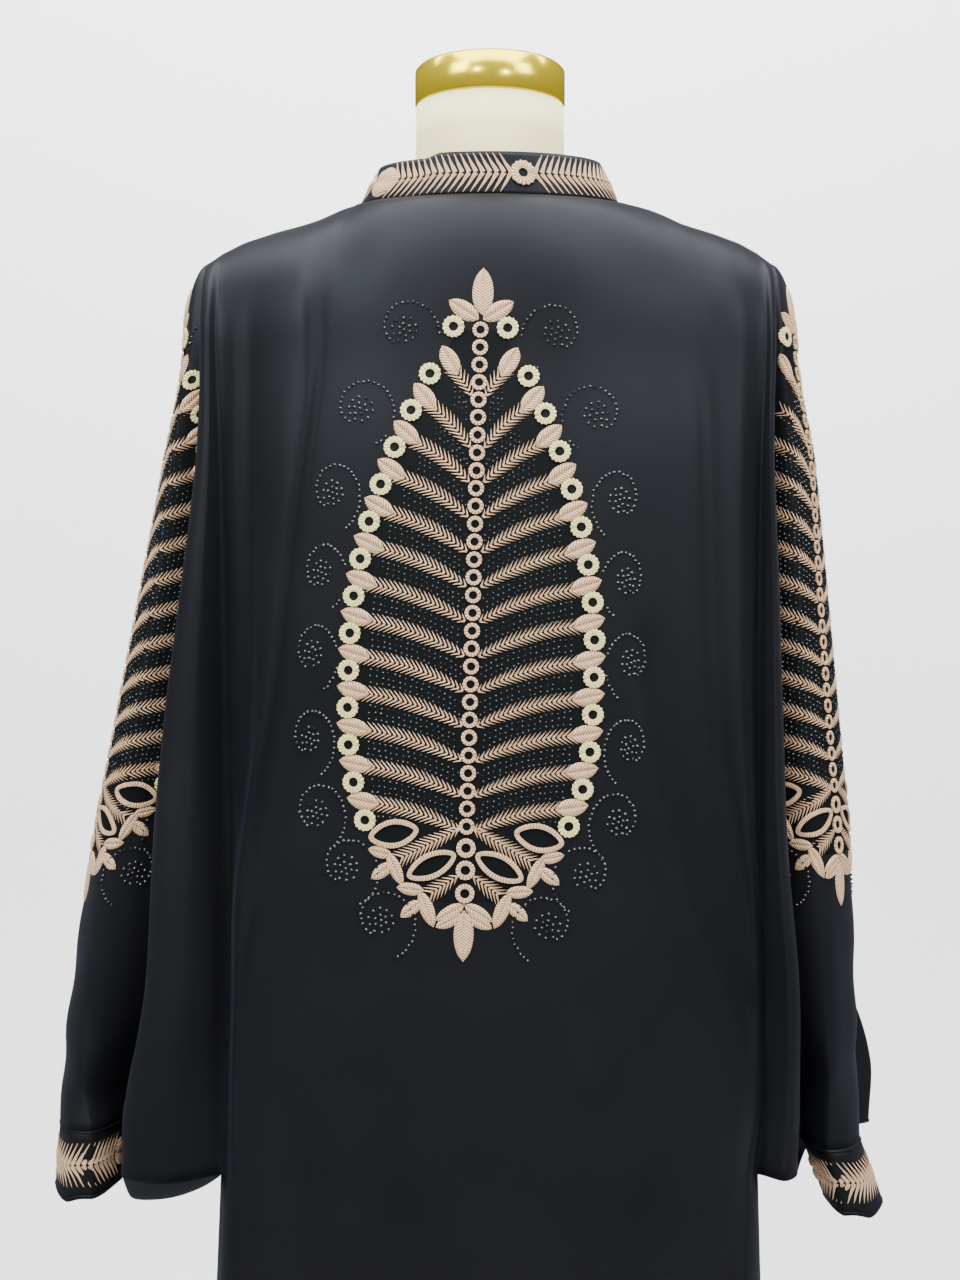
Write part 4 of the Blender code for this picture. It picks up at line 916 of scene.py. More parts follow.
# %% The sleeves
SLEEVE_ROWS_BELOW = 5
SLEEVE_WRINKLES = (
    # Height, rise, radians for each metre down, turns round the sleeve, start
    (0.900, 0.0006, 58.0, 2.0, 0.3),
    (0.835, 0.0009, 71.0, -3.0, 1.7),
    (0.775, 0.0012, 96.0, 2.0, 4.0),
)
WRINKLE_REACH = 0.045
SLEEVE_MIDDLE = (0.30, -0.01)


def wrinkle(made, middle):
    """Soft rings of unevenness about a few heights of a sleeve."""
    made.normal_update()
    for vert in made.verts:
        angle = math.atan2(vert.co.y - middle.y, vert.co.x - middle.x)
        move = 0.0
        for height, rise, pitch, turns, start in SLEEVE_WRINKLES:
            near = math.exp(-(((vert.co.z - height) / WRINKLE_REACH) ** 2))
            move += rise * near * math.sin(pitch * vert.co.z + turns * angle + start)
        vert.co += vert.normal * move


wrist_bands = {}
for side, sign in SIDES.items():
    seam_ring = on_side([wrist_ring(WRIST_RINGS[side]["seam"])], sign)[0]
    edge_ring = on_side([wrist_ring(WRIST_RINGS[side]["edge"])], sign)[0]
    rows = list(sides[side]["arm"])
    last = rows[-1]
    pinch = last[0] + Vector((sign * PINCH_STEP[0], PINCH_STEP[1], PINCH_STEP[2]))
    last = [pinch, *last[1:-1], pinch]
    rows[-1] = last
    for k in range(1, SLEEVE_ROWS_BELOW + 1):
        rows.append([top.lerp(foot, k / SLEEVE_ROWS_BELOW) for top, foot in zip(last, seam_ring)])
    sleeve = cloth_grid(rows, sign > 0)
    bmesh.ops.remove_doubles(sleeve, verts=sleeve.verts, dist=WELD_DISTANCE)
    wrinkle(sleeve, Vector((sign * SLEEVE_MIDDLE[0], SLEEVE_MIDDLE[1])))
    cloth_piece("cloth_sleeve_" + side, sleeve, "sleeve_" + side)
    wrist_bands[side] = (seam_ring, edge_ring)

# %% [markdown]
# ### Cuffs and collar
# Both are narrow bands between two lines of points. The empty cuffs have lost their round shape, so their
# lower edges wave a little.

# %% The cuffs and the collar
CUFF_GRID_ROWS = 8
CUFF_WAVE = 0.0022
# How far the collar's top edge drops in a small step at its back
BAND_TOP_STEP = 0.0035
STEP_PLACE = 0.043
STEP_RUN = 0.004


def ruled_rows(tops, feet, count):
    """Rows at even steps from one line of points to the other."""
    return [[top.lerp(foot, k / count) for top, foot in zip(tops, feet)] for k in range(count + 1)]


for side, sign in SIDES.items():
    seam_ring, edge_ring = wrist_bands[side]
    for k, point in enumerate(edge_ring):
        turn = 2 * math.pi * k / (len(edge_ring) - 1)
        point.z += CUFF_WAVE * (math.sin(2 * turn + 0.6) + 0.6 * math.sin(5 * turn))
    edge_ring[-1] = edge_ring[0].copy()
    cuff = cloth_grid(ruled_rows(seam_ring, edge_ring, CUFF_GRID_ROWS), sign > 0)
    bmesh.ops.remove_doubles(cuff, verts=cuff.verts, dist=WELD_DISTANCE)
    cloth_piece("cloth_cuff_" + side, cuff, "cuff_" + side)

collar_places = [(fold_place(i, BACK_STEPS), False) for i in range(sum(BACK_STEPS[:2]) + 1)]
front_first = sum(FRONT_STEPS) - sum(FRONT_STEPS[-2:])
collar_places += [(len(FRONT_STEPS) - fold_place(i, FRONT_STEPS), True)
                  for i in range(front_first + 1, sum(FRONT_STEPS) + 1)]
band_tops = [collar_point(place, front, 0.0) for place, front in collar_places]
band_feet = [collar_point(place, front, 1.0) for place, front in collar_places]
collar_tops = list(reversed(on_side([band_tops], -1)[0])) + band_tops[1:]
collar_feet = list(reversed(on_side([band_feet], -1)[0])) + band_feet[1:]
for point in collar_tops:
    if point.y > 0:
        point.z -= BAND_TOP_STEP / (1 + math.exp((STEP_PLACE - point.x) / STEP_RUN * 4))
collar = cloth_grid(ruled_rows(collar_tops, collar_feet, COLLAR_ROWS), True)
collar_piece = cloth_piece("cloth_collar", collar, "collar_band")

# %% [markdown]
# ## Embroidery
# The big leaf is an ordinary ornament: a chain of eyelet rings down its middle, feathered veins to both
# sides, and a border of rings and small leaves. It is worked out here from a few curves and repeats. The
# stitches are made as small raised shapes, because their shadows and their shine make it look sewn.
#
# Each kind of stitch is one small unit shape. It is duplicated as often as it is needed, and every copy is
# then laid on the cloth. A place in the leaf is given in millimetres, across from the chain and up.

# %% Copies of a unit shape, laid on the cloth
MM = 0.001


def copied(shape, count):
    """Duplicates the shape until the bmesh holds so many copies, each in one unbroken run of vertices."""
    # A shape that has passed through a mesh has no gaps in its order, so its copies follow one another
    unit = joined([bmesh.new(), shape])
    unit.loops.layers.uv.verify()
    for sequence in (unit.verts, unit.edges, unit.faces):
        sequence.ensure_lookup_table()
    first = [len(unit.verts), len(unit.edges), len(unit.faces)]
    have = 1
    while have < count:
        more = min(have, count - have)
        geometry = unit.verts[: first[0] * more] + unit.edges[: first[1] * more]
        bmesh.ops.duplicate(unit, geom=geometry + unit.faces[: first[2] * more])
        for sequence in (unit.verts, unit.edges, unit.faces):
            sequence.ensure_lookup_table()
        have += more
    return unit, first[0]


def stitched(shape, stamps, form, seat):
    """Lays one copy for each stamp: (across, up, angle, and the sizes that the form reads)."""
    unit, size = copied(shape, len(stamps))
    thread = unit.loops.layers.uv.verify()
    verts = unit.verts[:]
    for i, (across, up, angle, *sizes) in enumerate(stamps):
        cos, sin = math.cos(angle), math.sin(angle)
        for vert in verts[i * size : (i + 1) * size]:
            along, aside, rise, run = form(vert.co, *sizes)
            place, outward = seat(across + along * cos - aside * sin, up + along * sin + aside * cos)
            vert.co = place + outward * (rise * MM)
            for loop in vert.link_loops:
                loop[thread].uv = (run * MM, aside * MM)
    bmesh.ops.recalc_face_normals(unit, faces=unit.faces)
    return unit


# %% [markdown]
# ### The stitches
# A ring is a buttonhole eyelet, so its outer edge has small teeth. A leaf is satin stitch over padding: two
# halves slope down into a midrib. A barb is one long stitch that tapers, and a stone is a cut bead.

# %% Unit shapes and their forms
RING_SIDES = 30
RING_SECTION_SIDES = 6
LEAF_STEPS, LEAF_LANES = 10, 8
CONE_SIDES = 6
BARB_TIP, STONE_TABLE = 0.12, 0.4
LEAF_POINT, LEAF_ROUND = 2.3, 0.8


def ring_unit():
    unit = bmesh.new()
    bmesh.ops.create_circle(unit, segments=RING_SECTION_SIDES, radius=0.5)
    bmesh.ops.rotate(unit, verts=unit.verts, cent=(0, 0, 0), matrix=Matrix.Rotation(math.pi / 2, 3, "X"))
    bmesh.ops.translate(unit, verts=unit.verts, vec=(1, 0, 0))
    bmesh.ops.spin(unit, geom=unit.verts[:] + unit.edges[:], cent=(0, 0, 0), axis=(0, 0, 1), dvec=(0, 0, 0),
                   angle=2 * math.pi, steps=RING_SIDES, use_merge=True, use_duplicate=False)
    return unit


def ring_form(at, radius, tube, rise, teeth=0.0):
    reach = math.hypot(at.x, at.y)
    angle = math.atan2(at.y, at.x)
    way = 1 if round(angle / (2 * math.pi) * RING_SIDES) % 2 else -1
    tooth = teeth * way * max(reach - 1, 0) * 2
    out = radius + (reach - 1) * 2 * tube + tooth
    return out * math.cos(angle), out * math.sin(angle), (at.z * 2 + 0.9) * rise / 1.9, angle * radius


def eyelet_form(at, half_length, half_width, tube, rise):
    """A ring drawn out to the shape of an almond."""
    reach = math.hypot(at.x, at.y)
    angle = math.atan2(at.y, at.x)
    off = (reach - 1) * 2 * tube
    along = (half_length + off) * math.cos(angle)
    aside = (half_width * (1 - 0.3 * math.cos(angle) ** 2) + off) * math.sin(angle)
    return along, aside, (at.z * 2 + 0.9) * rise / 1.9, angle * half_length


def leaf_unit():
    unit = bmesh.new()
    bmesh.ops.create_grid(unit, x_segments=LEAF_STEPS, y_segments=LEAF_LANES, size=1)
    return unit


def leaf_form(at, length, width, rise):
    """A pointed oval with a midrib; its stitches run outwards and forwards from the rib."""
    half = width / 2 * max(1 - abs(at.x) ** LEAF_POINT, 0.0) ** LEAF_ROUND * (1 - 0.08 * at.x)
    along = at.x * length / 2
    dome = max(1 - abs(at.y) ** 3, 0.0) * (1 - 0.75 * math.exp(-((at.y / 0.2) ** 2)))
    dome *= 0.35 + 0.65 * max(1 - at.x**4, 0.0)
    return along, at.y * half, dome * rise - 0.1, along - 0.7 * abs(at.y * half)


def barb_unit():
    unit = bmesh.new()
    bmesh.ops.create_cone(unit, segments=CONE_SIDES, radius1=1, radius2=BARB_TIP, depth=1, cap_ends=True)
    return unit


def barb_form(at, length, width, rise):
    along = (at.z + 0.5) * length
    return along, at.x * width / 2, (at.y * 0.5 + 0.42) * rise, at.x * width


def stone_unit():
    unit = bmesh.new()
    bmesh.ops.create_cone(unit, segments=CONE_SIDES, radius1=1, radius2=STONE_TABLE, depth=1, cap_ends=True)
    return unit


def stone_form(at, radius, lean, tip):
    """A stone's table leans a little to one side, so that each one glints at another light."""
    rise = (at.z + 0.5) * radius * 0.75 + 0.35 + (at.x * lean + at.y * tip) * radius
    return at.x * radius, at.y * radius, rise, 0.0


STONE_LEAN = 0.4


def stone_at(across, up, radius):
    """A stone's stamp, turned and tilted by chance."""
    turn = chance.uniform(0, 1)
    lean = chance.uniform(-STONE_LEAN, STONE_LEAN)
    return across, up, turn, radius, lean, chance.uniform(-STONE_LEAN, STONE_LEAN)


# %% [markdown]
# ### The leaf's drawing
# The outline is a formula for the half width at each height. Rings and leaves take turns along it, and each
# vein starts at the chain and bends up to its border leaf. All of this is drawn for one half and mirrored.

# %% The outline, rings and leaves
OUTLINE_WIDEST = 90.0
OUTLINE_TIP, OUTLINE_SHOULDER = 283.5, 21.8
OUTLINE_DEPTH = 168.7
OUTLINE_ROUND, OUTLINE_FOOT_ROUND = 0.8, 2.8
TOP_RING = (19.6, 262.4)
SIDE_RINGS, FIRST_RING, RING_STEP = 13, 227.5, 26.95
SIDE_LEAVES, FIRST_LEAF, LEAF_STEP = 13, 237.7, 26.66
BORDER_RING = (0, 5.6, 2.5, 2.0, 0.45)
UPPER_LEAVES_ACROSS = (21.6, 39.0, 51.4)


def half_width(up):
    if up >= OUTLINE_SHOULDER:
        share = min(max((OUTLINE_TIP - up) / (OUTLINE_TIP - OUTLINE_SHOULDER), 0.0), 1.0)
        return OUTLINE_WIDEST * math.sin(math.pi / 2 * share) ** OUTLINE_ROUND
    if up >= 0:
        return OUTLINE_WIDEST
    return OUTLINE_WIDEST * max(1 - (-up / OUTLINE_DEPTH) ** OUTLINE_FOOT_ROUND, 0.0) ** OUTLINE_ROUND


def both_sides(stamps):
    return [stamp for across, up, angle, *sizes in stamps
            for stamp in ((across, up, angle, *sizes), (-across, up, math.pi - angle, *sizes))]


def degrees(stamps):
    return [(across, up, math.radians(angle), *sizes) for across, up, angle, *sizes in stamps]


border_rings = [(*TOP_RING, *BORDER_RING)]
for up in (FIRST_RING - RING_STEP * k for k in range(SIDE_RINGS)):
    border_rings.append((half_width(up) - 1.5, up, *BORDER_RING))
border_leaves = []
for k in range(SIDE_LEAVES):
    up = FIRST_LEAF - LEAF_STEP * k
    across = UPPER_LEAVES_ACROSS[k] if k < len(UPPER_LEAVES_ACROSS) else half_width(up) - 5
    border_leaves.append((across, up, math.radians(3 + 58 * math.exp(-k / 5)), 24.5, 13.5, 2.3))
print("border rings", len(border_rings), "and leaves", len(border_leaves), "to a side")

# %% Chain, tip and foot
chain_rings = [(0, 260.5 - 12.8 * k, 0, 4.4, 1.55, 1.7) for k in range(29)]
chain_rings += [(0, up, 0, 5.2, 2.0, 1.9) for up in (-113.4, -129.4, -146.1)]
tip_leaves = degrees([(-1, 288.6, 90, 35, 15.5, 2.4)])
tip_leaves += both_sides(degrees([(12.5, 274.8, 32, 26, 13, 2.2)]))
# Leaves as (across, up, angle, length, width, rise)
foot_leaves = both_sides(degrees([
    (62, -118.5, 12, 18, 9, 2.0), (60.3, -132.3, -38, 19, 9.5, 2.0), (50.5, -130.1, -115, 26, 9.5, 2.0),
    (39.3, -144, 5, 20, 9.5, 2.0), (38.5, -158.5, -40, 19, 9.5, 2.0), (27, -158, -112, 28, 10.5, 2.0),
    (10.2, -160, -30, 24, 9.5, 2.0), (11, -166.2, -27, 21, 9.5, 1.9),
]))
foot_leaves += degrees([(0, -176.7, -90, 37, 14.5, 2.4)])
eyelets = both_sides(degrees([
    (52.3, -104.7, -12, 16.5, 8.5, 2.1, 2.1), (24.4, -126.5, -27, 17.5, 7.6, 2.1, 2.1),
]))

# %% [markdown]
# A vein is a curve with a barb to each side at every step. The barbs lean outwards, as on a feather, and get
# shorter towards the chain. The stones lie in rows below each vein, a little unevenly, as a hand sets them.

# %% Veins and stones
BARB_PITCH, FOOT_BARB_PITCH = 3.6, 3.4
BARB_RISE = 1.5
STONE_PITCH = 4.3
STONE_DROPS = (8.5, 12.8, 17.1, 21.4)
STONE_JITTER = 0.6
STONE_FIELD = (-96, 250)
VEIN_SAG = Vector((-0.03, 0.09))
FOOT_VEINS = (((6, -100), (45, -121)), ((6, -134), (25, -147)))
CURVE_PARTS = 40
chance = random.Random(7)


def curve_points(start, control, end, pitch):
    """Points at even steps on a bent line, each with its direction."""
    shares = [k / CURVE_PARTS for k in range(CURVE_PARTS + 1)]
    fine = [start * (1 - t) ** 2 + control * 2 * t * (1 - t) + end * t * t for t in shares]
    found, travelled, due = [], 0.0, 0.0
    for a, b in zip(fine, fine[1:]):
        step = (b - a).length
        while due <= travelled + step:
            found.append((a.lerp(b, (due - travelled) / step), b - a))
            due += pitch
        travelled += step
    return found


def feather(points, length, width=1.9, spread=40, first_share=0.62):
    """Barbs to both sides of a line; their length grows from its start to its first third."""
    barbs = []
    for k, (place, direction) in enumerate(points):
        heading = math.atan2(direction.y, direction.x)
        share = k / max(len(points) - 1, 1)
        reach = length * (first_share + (1.0 - first_share) * min(share * 3, 1.0))
        for turn in (spread, -spread):
            barbs.append((place.x, place.y, heading + math.radians(turn), reach, width, BARB_RISE))
    return barbs


def jitter(most):
    return Vector((chance.uniform(-most, most), chance.uniform(-most, most)))


barbs, vein_stones = [], []
for k, (across, up, angle, length, *_) in enumerate(border_leaves):
    end = Vector((across, up)) - Vector((math.cos(angle), math.sin(angle))) * (length / 2 - 1)
    start = Vector((5.5, up - (25.0 if k == 0 else 36.0 - 1.6 * (k - 1))))
    control = (start + end) / 2 + VEIN_SAG * (end - start).length
    barbs += feather(curve_points(start, control, end, BARB_PITCH), 9.4)
    for drop in STONE_DROPS:
        for place, _ in curve_points(start, control, end, STONE_PITCH):
            spot = place + jitter(STONE_JITTER) + Vector((1.5, -drop))
            if 7 < spot.x < half_width(spot.y) - 8 and STONE_FIELD[0] < spot.y < STONE_FIELD[1]:
                vein_stones.append(stone_at(spot.x, spot.y, chance.uniform(0.75, 1.05)))
for start, end in FOOT_VEINS:
    start, end = Vector(start), Vector(end)
    barbs += feather(curve_points(start, start.lerp(end, 0.5), end, FOOT_BARB_PITCH), 10.0)
barbs = both_sides(barbs)
vein_stones = both_sides(vein_stones)
print("barbs", len(barbs), "stones between the veins", len(vein_stones))

# %% [markdown]
# Outside the border, black stones are set in small snails: a disc of stones with a curl round it. They take
# turns with the border's rings down both sides.

# %% Snails of stones
# Middle as (across, up), and how much narrower than round
SNAILS = ((55, 259.5, 1.0), (85.5, 201.4, 1.0), (104, 140, 0.8), (110.5, 82, 0.72), (115.5, 23, 0.72),
          (116, -39, 0.72), (109.5, -93, 0.85), (87, -131.6, 0.95), (60, -168, 1.0))
# Rings of the disc as (radius, stones)
SNAIL_DISC = ((0, 1), (4.4, 6), (8.8, 10))
CURL_FIRST, CURL_LAST = -50.0, 250
CURL_RADII = (14, 20)
CURL_STONE_STEP = 4.6
CURL_SHRINK = 0.85
SNAIL_STONE_RADIUS = 1.3
BORDER_KEEP = 8


def snail(across, up, narrow):
    """A disc of stones and a curl round it that opens as it turns."""
    stones = []
    for radius, count in SNAIL_DISC:
        for k in range(count):
            turn = 2 * math.pi * (k + 0.3) / count
            stones.append((across + radius * narrow * math.cos(turn), up + radius * math.sin(turn)))
    turn = CURL_FIRST
    while turn < CURL_LAST:
        radius = CURL_RADII[0] + CURL_RADII[1] * (turn - CURL_FIRST) / (CURL_LAST - CURL_FIRST)
        spot = math.radians(turn)
        stones.append((across + radius * narrow * math.cos(spot) * CURL_SHRINK,
                       up + radius * math.sin(spot) * CURL_SHRINK))
        turn += math.degrees(CURL_STONE_STEP / radius)
    return [stone_at(x + chance.uniform(-0.4, 0.4), y + chance.uniform(-0.4, 0.4), SNAIL_STONE_RADIUS)
            for x, y in stones if abs(x) > half_width(y) + BORDER_KEEP]


snail_stones = both_sides([stone for place in SNAILS for stone in snail(*place)])
print("stones in snails", len(snail_stones))

# %% [markdown]
# ### Laying the leaf on the cloth
# The leaf on the back is seated by a ray from behind. On a sleeve, across is measured round the arm from the
# chain, so the leaf wraps it, and what would pass the sleeve's seams is left out.

# %% Seats on the back and on the sleeves
LEAF_MIDDLE_HEIGHT = 1.0727
LEAF_TILT = 0.028
LEAF_AXIS_X = 0.0147
SLEEVE_LEAF_HEIGHT = 1.091
SLEEVE_LEAF_SCALE = 0.9456
SLEEVE_CHAIN_COLUMN = {"left": 5 * FINE, "right": 4 * FINE}
SEAM_KEEP = 6.0


def lengths_along(points, unit=1.0):
    """How far along a line each of its points lies."""
    run = [0.0]
    for a, b in zip(points, points[1:]):
        run.append(run[-1] + (b - a).length / unit)
    return run


def laid(tree, origin, direction, reach):
    """The place where a ray meets the cloth, or the nearest one to its middle, and the way outwards."""
    place, outward, *_ = tree.ray_cast(origin, direction, reach)
    if place is None:
        place, outward, *_ = tree.find_nearest(origin + direction * reach / 2)
    if outward.dot(direction) > 0:
        outward = -outward
    return place, outward


def back_seat(across, up):
    x = LEAF_AXIS_X + (across * math.cos(LEAF_TILT) - up * math.sin(LEAF_TILT)) * MM
    z = LEAF_MIDDLE_HEIGHT + (across * math.sin(LEAF_TILT) + up * math.cos(LEAF_TILT)) * MM
    return laid(cut_sheets["back_panel"], Vector((x, 0.4, z)), Vector((0, -1, 0)), 0.6)


def sleeve_arcs(side):
    """For each row of a sleeve: its height, its points and how far round each lies from the chain."""
    arcs = []
    for row in sides[side]["arm"]:
        run = lengths_along(row, MM)
        middle = run[SLEEVE_CHAIN_COLUMN[side]]
        arcs.append((row[0].z, row, [value - middle for value in run]))
    return arcs


def on_row(row, run, across):
    """The point at a distance round one row, and the row's direction there."""
    k = min(max(bisect.bisect_right(run, across) - 1, 0), len(row) - 2)
    span = max(run[k + 1] - run[k], 1e-6)
    share = min(max((across - run[k]) / span, 0.0), 1.0)
    return row[k].lerp(row[k + 1], share), row[k + 1] - row[k]


def sleeve_seat(side):
    arcs = sleeve_arcs(side)
    levels = [-entry[0] for entry in arcs]
    sign = SIDES[side]

    def seat(across, up):
        z = SLEEVE_LEAF_HEIGHT + up * SLEEVE_LEAF_SCALE * MM
        k = min(max(bisect.bisect_right(levels, -z) - 1, 0), len(arcs) - 2)
        (top, upper, upper_run), (low, lower, lower_run) = arcs[k], arcs[k + 1]
        share = min(max((top - z) / max(top - low, 1e-6), 0.0), 1.0)
        first, way = on_row(upper, upper_run, across * SLEEVE_LEAF_SCALE)
        second, other = on_row(lower, lower_run, across * SLEEVE_LEAF_SCALE)
        place = first.lerp(second, share)
        way = way + other
        outward = Vector((-way.y, way.x, 0)) * sign
        outward = outward.normalized() if outward.length > 1e-9 else Vector((sign, 0, 0))
        return laid(cut_sheets["sleeve_" + side], place + outward * 0.02, -outward, 0.05)

    def holds(across, up):
        z = SLEEVE_LEAF_HEIGHT + up * SLEEVE_LEAF_SCALE * MM
        k = min(max(bisect.bisect_right(levels, -z) - 1, 0), len(arcs) - 1)
        run = arcs[k][2]
        return run[0] + SEAM_KEEP < across * SLEEVE_LEAF_SCALE < run[-1] - SEAM_KEEP

    return seat, holds


# %% [markdown]
# The ground between the veins is closely beaded in black, so it is darker than the crepe. It is a thin layer
# of its own, a little smaller than the border.

# %% One leaf's pieces
GROUND_ROWS, GROUND_COLUMNS = 90, 36
GROUND_MIDDLE, GROUND_HALF_LENGTH = 54, 206
GROUND_INSET = 3
GROUND_RISE = 0.25


def ground_sheet(seat, holds):
    made = bmesh.new()
    bmesh.ops.create_grid(made, x_segments=GROUND_COLUMNS, y_segments=GROUND_ROWS, size=1)
    outside = []
    for vert in made.verts:
        up = GROUND_MIDDLE + vert.co.y * GROUND_HALF_LENGTH
        across = vert.co.x * max(half_width(up) - GROUND_INSET, 2.0)
        if not holds(across, up):
            outside.append(vert)
        place, outward = seat(across, up)
        vert.co = place + outward * GROUND_RISE * MM
    bmesh.ops.delete(made, geom=outside, context="VERTS")
    return made


def leaf_pieces(node, seat, holds):
    """The rose thread, the cream thread, the stones and the ground of one leaf, in place of its solid."""
    def kept(stamps):
        return [stamp for stamp in stamps if holds(stamp[0], stamp[1])]

    rose = joined([
        stitched(leaf_unit(), kept(both_sides(border_leaves) + tip_leaves + foot_leaves), leaf_form, seat),
        stitched(barb_unit(), kept(barbs), barb_form, seat),
        stitched(ring_unit(), kept(chain_rings), ring_form, seat),
        stitched(ring_unit(), kept(eyelets), eyelet_form, seat),
    ])
    cream = stitched(ring_unit(), kept(both_sides(border_rings)), ring_form, seat)
    stones = stitched(stone_unit(), kept(vein_stones + snail_stones), stone_form, seat)
    ground = ground_sheet(seat, holds)
    shown_piece(node + "_rose_thread", rose, ROSE_THREAD, "embroidery", node)
    shown_piece(node + "_cream_thread", cream, CREAM_THREAD, "embroidery", node)
    shown_piece(node + "_stones", stones, STONE, "embroidery", node)
    shown_piece(node + "_ground", ground, BEAD_GROUND, "embroidery", node)


leaf_pieces("back_leaf", back_seat, lambda across, up: True)
for side in SIDES:
    leaf_pieces("sleeve_leaf_" + side, *sleeve_seat(side))

# %% [markdown]
# ### Feather borders of the collar and cuffs
# Each band carries one long feather with barbs to both its edges. On the collar they sweep away from an
# eyelet ring, and on the cuffs towards a round disc. A place is measured along the band and up from its
# middle line, so one drawing suits all three.

# %% A seat on a band
BAND_BARB_WIDTH, BAND_BARB_RISE = 4.0, 1.3
DISC_TILT = 0.14
DISC_RISE = 1.9


def band_seat(tops, feet, node, start):
    """Seats stamps on a band between two lines; also tells how far round each of their points lies."""
    middle = [top.lerp(foot, 0.5) for top, foot in zip(tops, feet)]
    run = lengths_along(middle, MM)
    run = [value - run[start] for value in run]
    centre = sum(middle, Vector()) / len(middle)

    def seat(along, up):
        top, way = on_row(tops, run, along)
        foot, other = on_row(feet, run, along)
        rise = top - foot
        place = (top + foot) / 2 + rise.normalized() * up * MM
        outward = (way + other).cross(rise).normalized()
        if outward.dot(place - centre) < 0:
            outward = -outward
        return laid(cut_sheets[node], place + outward * 0.01, -outward, 0.02)

    return seat, run


def spikes(first, last, pitch, length, lean):
    """Barbs above and below a band's middle line, leaning the way that the run goes."""
    way = 1 if last > first else -1
    found = []
    for k in range(int(abs(last - first) / pitch) + 1):
        along = first + way * k * pitch
        for turn, up in ((lean, 0.3), (-lean, -0.3)):
            angle = math.radians(turn) if way > 0 else math.pi - math.radians(turn)
            found.append((along, up, angle, length, BAND_BARB_WIDTH, BAND_BARB_RISE))
    return found


def disc_form(at, radius, rise):
    """A padded round of satin stitch with a split across it."""
    across = at.x * radius * math.sqrt(1 - at.y**2 / 2)
    up = at.y * radius * math.sqrt(1 - at.x**2 / 2)
    edge = max(1 - max(abs(at.x), abs(at.y)) ** 6, 0.0)
    split = 1 - 0.75 * math.exp(-((at.y / 0.10) ** 2))
    return across, up, edge * split * rise - 0.1, up + 0.4 * across


# %% The collar's feather
COLLAR_RING_X, COLLAR_DISC_X = -0.0215, 0.074
COLLAR_RING = (6.5, 3.4, 2.2, 0.5)
COLLAR_DISC_RADIUS = 12.5
COLLAR_BARBS = (5.2, 17, 60)
collar_seat, collar_run = band_seat(collar_tops, collar_feet, "collar_band", len(band_tops) - 1)


def collar_along(x):
    """How far round the collar's back a sideways place lies."""
    behind = [k for k, top in enumerate(collar_tops) if top.y >= 0]
    return collar_run[min(behind, key=lambda k: abs(collar_tops[k].x - x))]


ring_at, disc_at = collar_along(COLLAR_RING_X), collar_along(COLLAR_DISC_X)
collar_barbs = spikes(ring_at + 9, disc_at - 12, *COLLAR_BARBS)
collar_barbs += spikes(disc_at + 13, collar_run[-1] - 8, *COLLAR_BARBS)
collar_barbs += spikes(ring_at - 9, collar_run[0] + 8, *COLLAR_BARBS)
collar_disc = (disc_at, 0, DISC_TILT, COLLAR_DISC_RADIUS, DISC_RISE)
collar_thread = joined([
    stitched(barb_unit(), collar_barbs, barb_form, collar_seat),
    stitched(ring_unit(), [(ring_at, 0, 0, *COLLAR_RING)], ring_form, collar_seat),
    stitched(leaf_unit(), [collar_disc], disc_form, collar_seat),
])
shown_piece("collar_rose_thread", collar_thread, ROSE_THREAD, "embroidery")
print("barbs on the collar", len(collar_barbs))

# %% The cuffs' feathers
CUFF_DISC_ALONG, CUFF_DISC_RADIUS = 14.0, 11.0
CUFF_BARBS = (4.8, 19, 58)
for side in SIDES:
    seam_ring, edge_ring = wrist_bands[side]
    cuff_seat, cuff_run = band_seat(seam_ring, edge_ring, "cuff_" + side, 0)
    cuff_barbs = spikes(cuff_run[-1] - 6, CUFF_DISC_ALONG + 13, *CUFF_BARBS)
    cuff_disc = (CUFF_DISC_ALONG, 0, DISC_TILT, CUFF_DISC_RADIUS, DISC_RISE)
    thread = joined([
        stitched(barb_unit(), cuff_barbs, barb_form, cuff_seat),
        stitched(leaf_unit(), [cuff_disc], disc_form, cuff_seat),
    ])
    shown_piece("cuff_%s_rose_thread" % side, thread, ROSE_THREAD, "embroidery")
    print("round the cuff", round(cuff_run[-1]), "mm")

# %% [markdown]
# ## Seams, stitch lines and hems
# Seams are what shows that the garment is cut and sewn. Each one here is a low welt along a line of points on
# the cloth: a thin half-round ridge. A row of top-stitching is the same, with short ridges in black thread.

# %% A welt along a line
WELT_LANES = 4
WELT_SINK = 0.0001


def welt(points, outward, width, rise):
    """A low ridge on the cloth, swept along the points."""
    made = bmesh.new()
    last = len(points) - 1
    bmesh.ops.create_grid(made, x_segments=last, y_segments=WELT_LANES, size=1)
    thread = made.loops.layers.uv.verify()
    run = lengths_along(points)
    for vert in made.verts:
        k = round((vert.co.x + 1) / 2 * last)
        way = points[min(k + 1, last)] - points[max(k - 1, 0)]
        out = outward[k]
        aside = way.cross(out).normalized()
        lift = rise * (1 - vert.co.y**2) - WELT_SINK
        vert.co = points[k] + aside * vert.co.y * width / 2 + out * lift
        for loop in vert.link_loops:
            loop[thread].uv = (run[k], 0)
    bmesh.ops.recalc_face_normals(made, faces=made.faces)
    return made


def on_sheet(node, points):
    """The points moved onto a sheet's outer face, with its directions outwards."""
    found = [cut_sheets[node].find_nearest(point) for point in points]
    return [hit[0] for hit in found], [hit[1] for hit in found]


def sheet_welt(node, points, width, rise):
    places, directions = on_sheet(node, points)
    return welt(places, directions, width, rise)


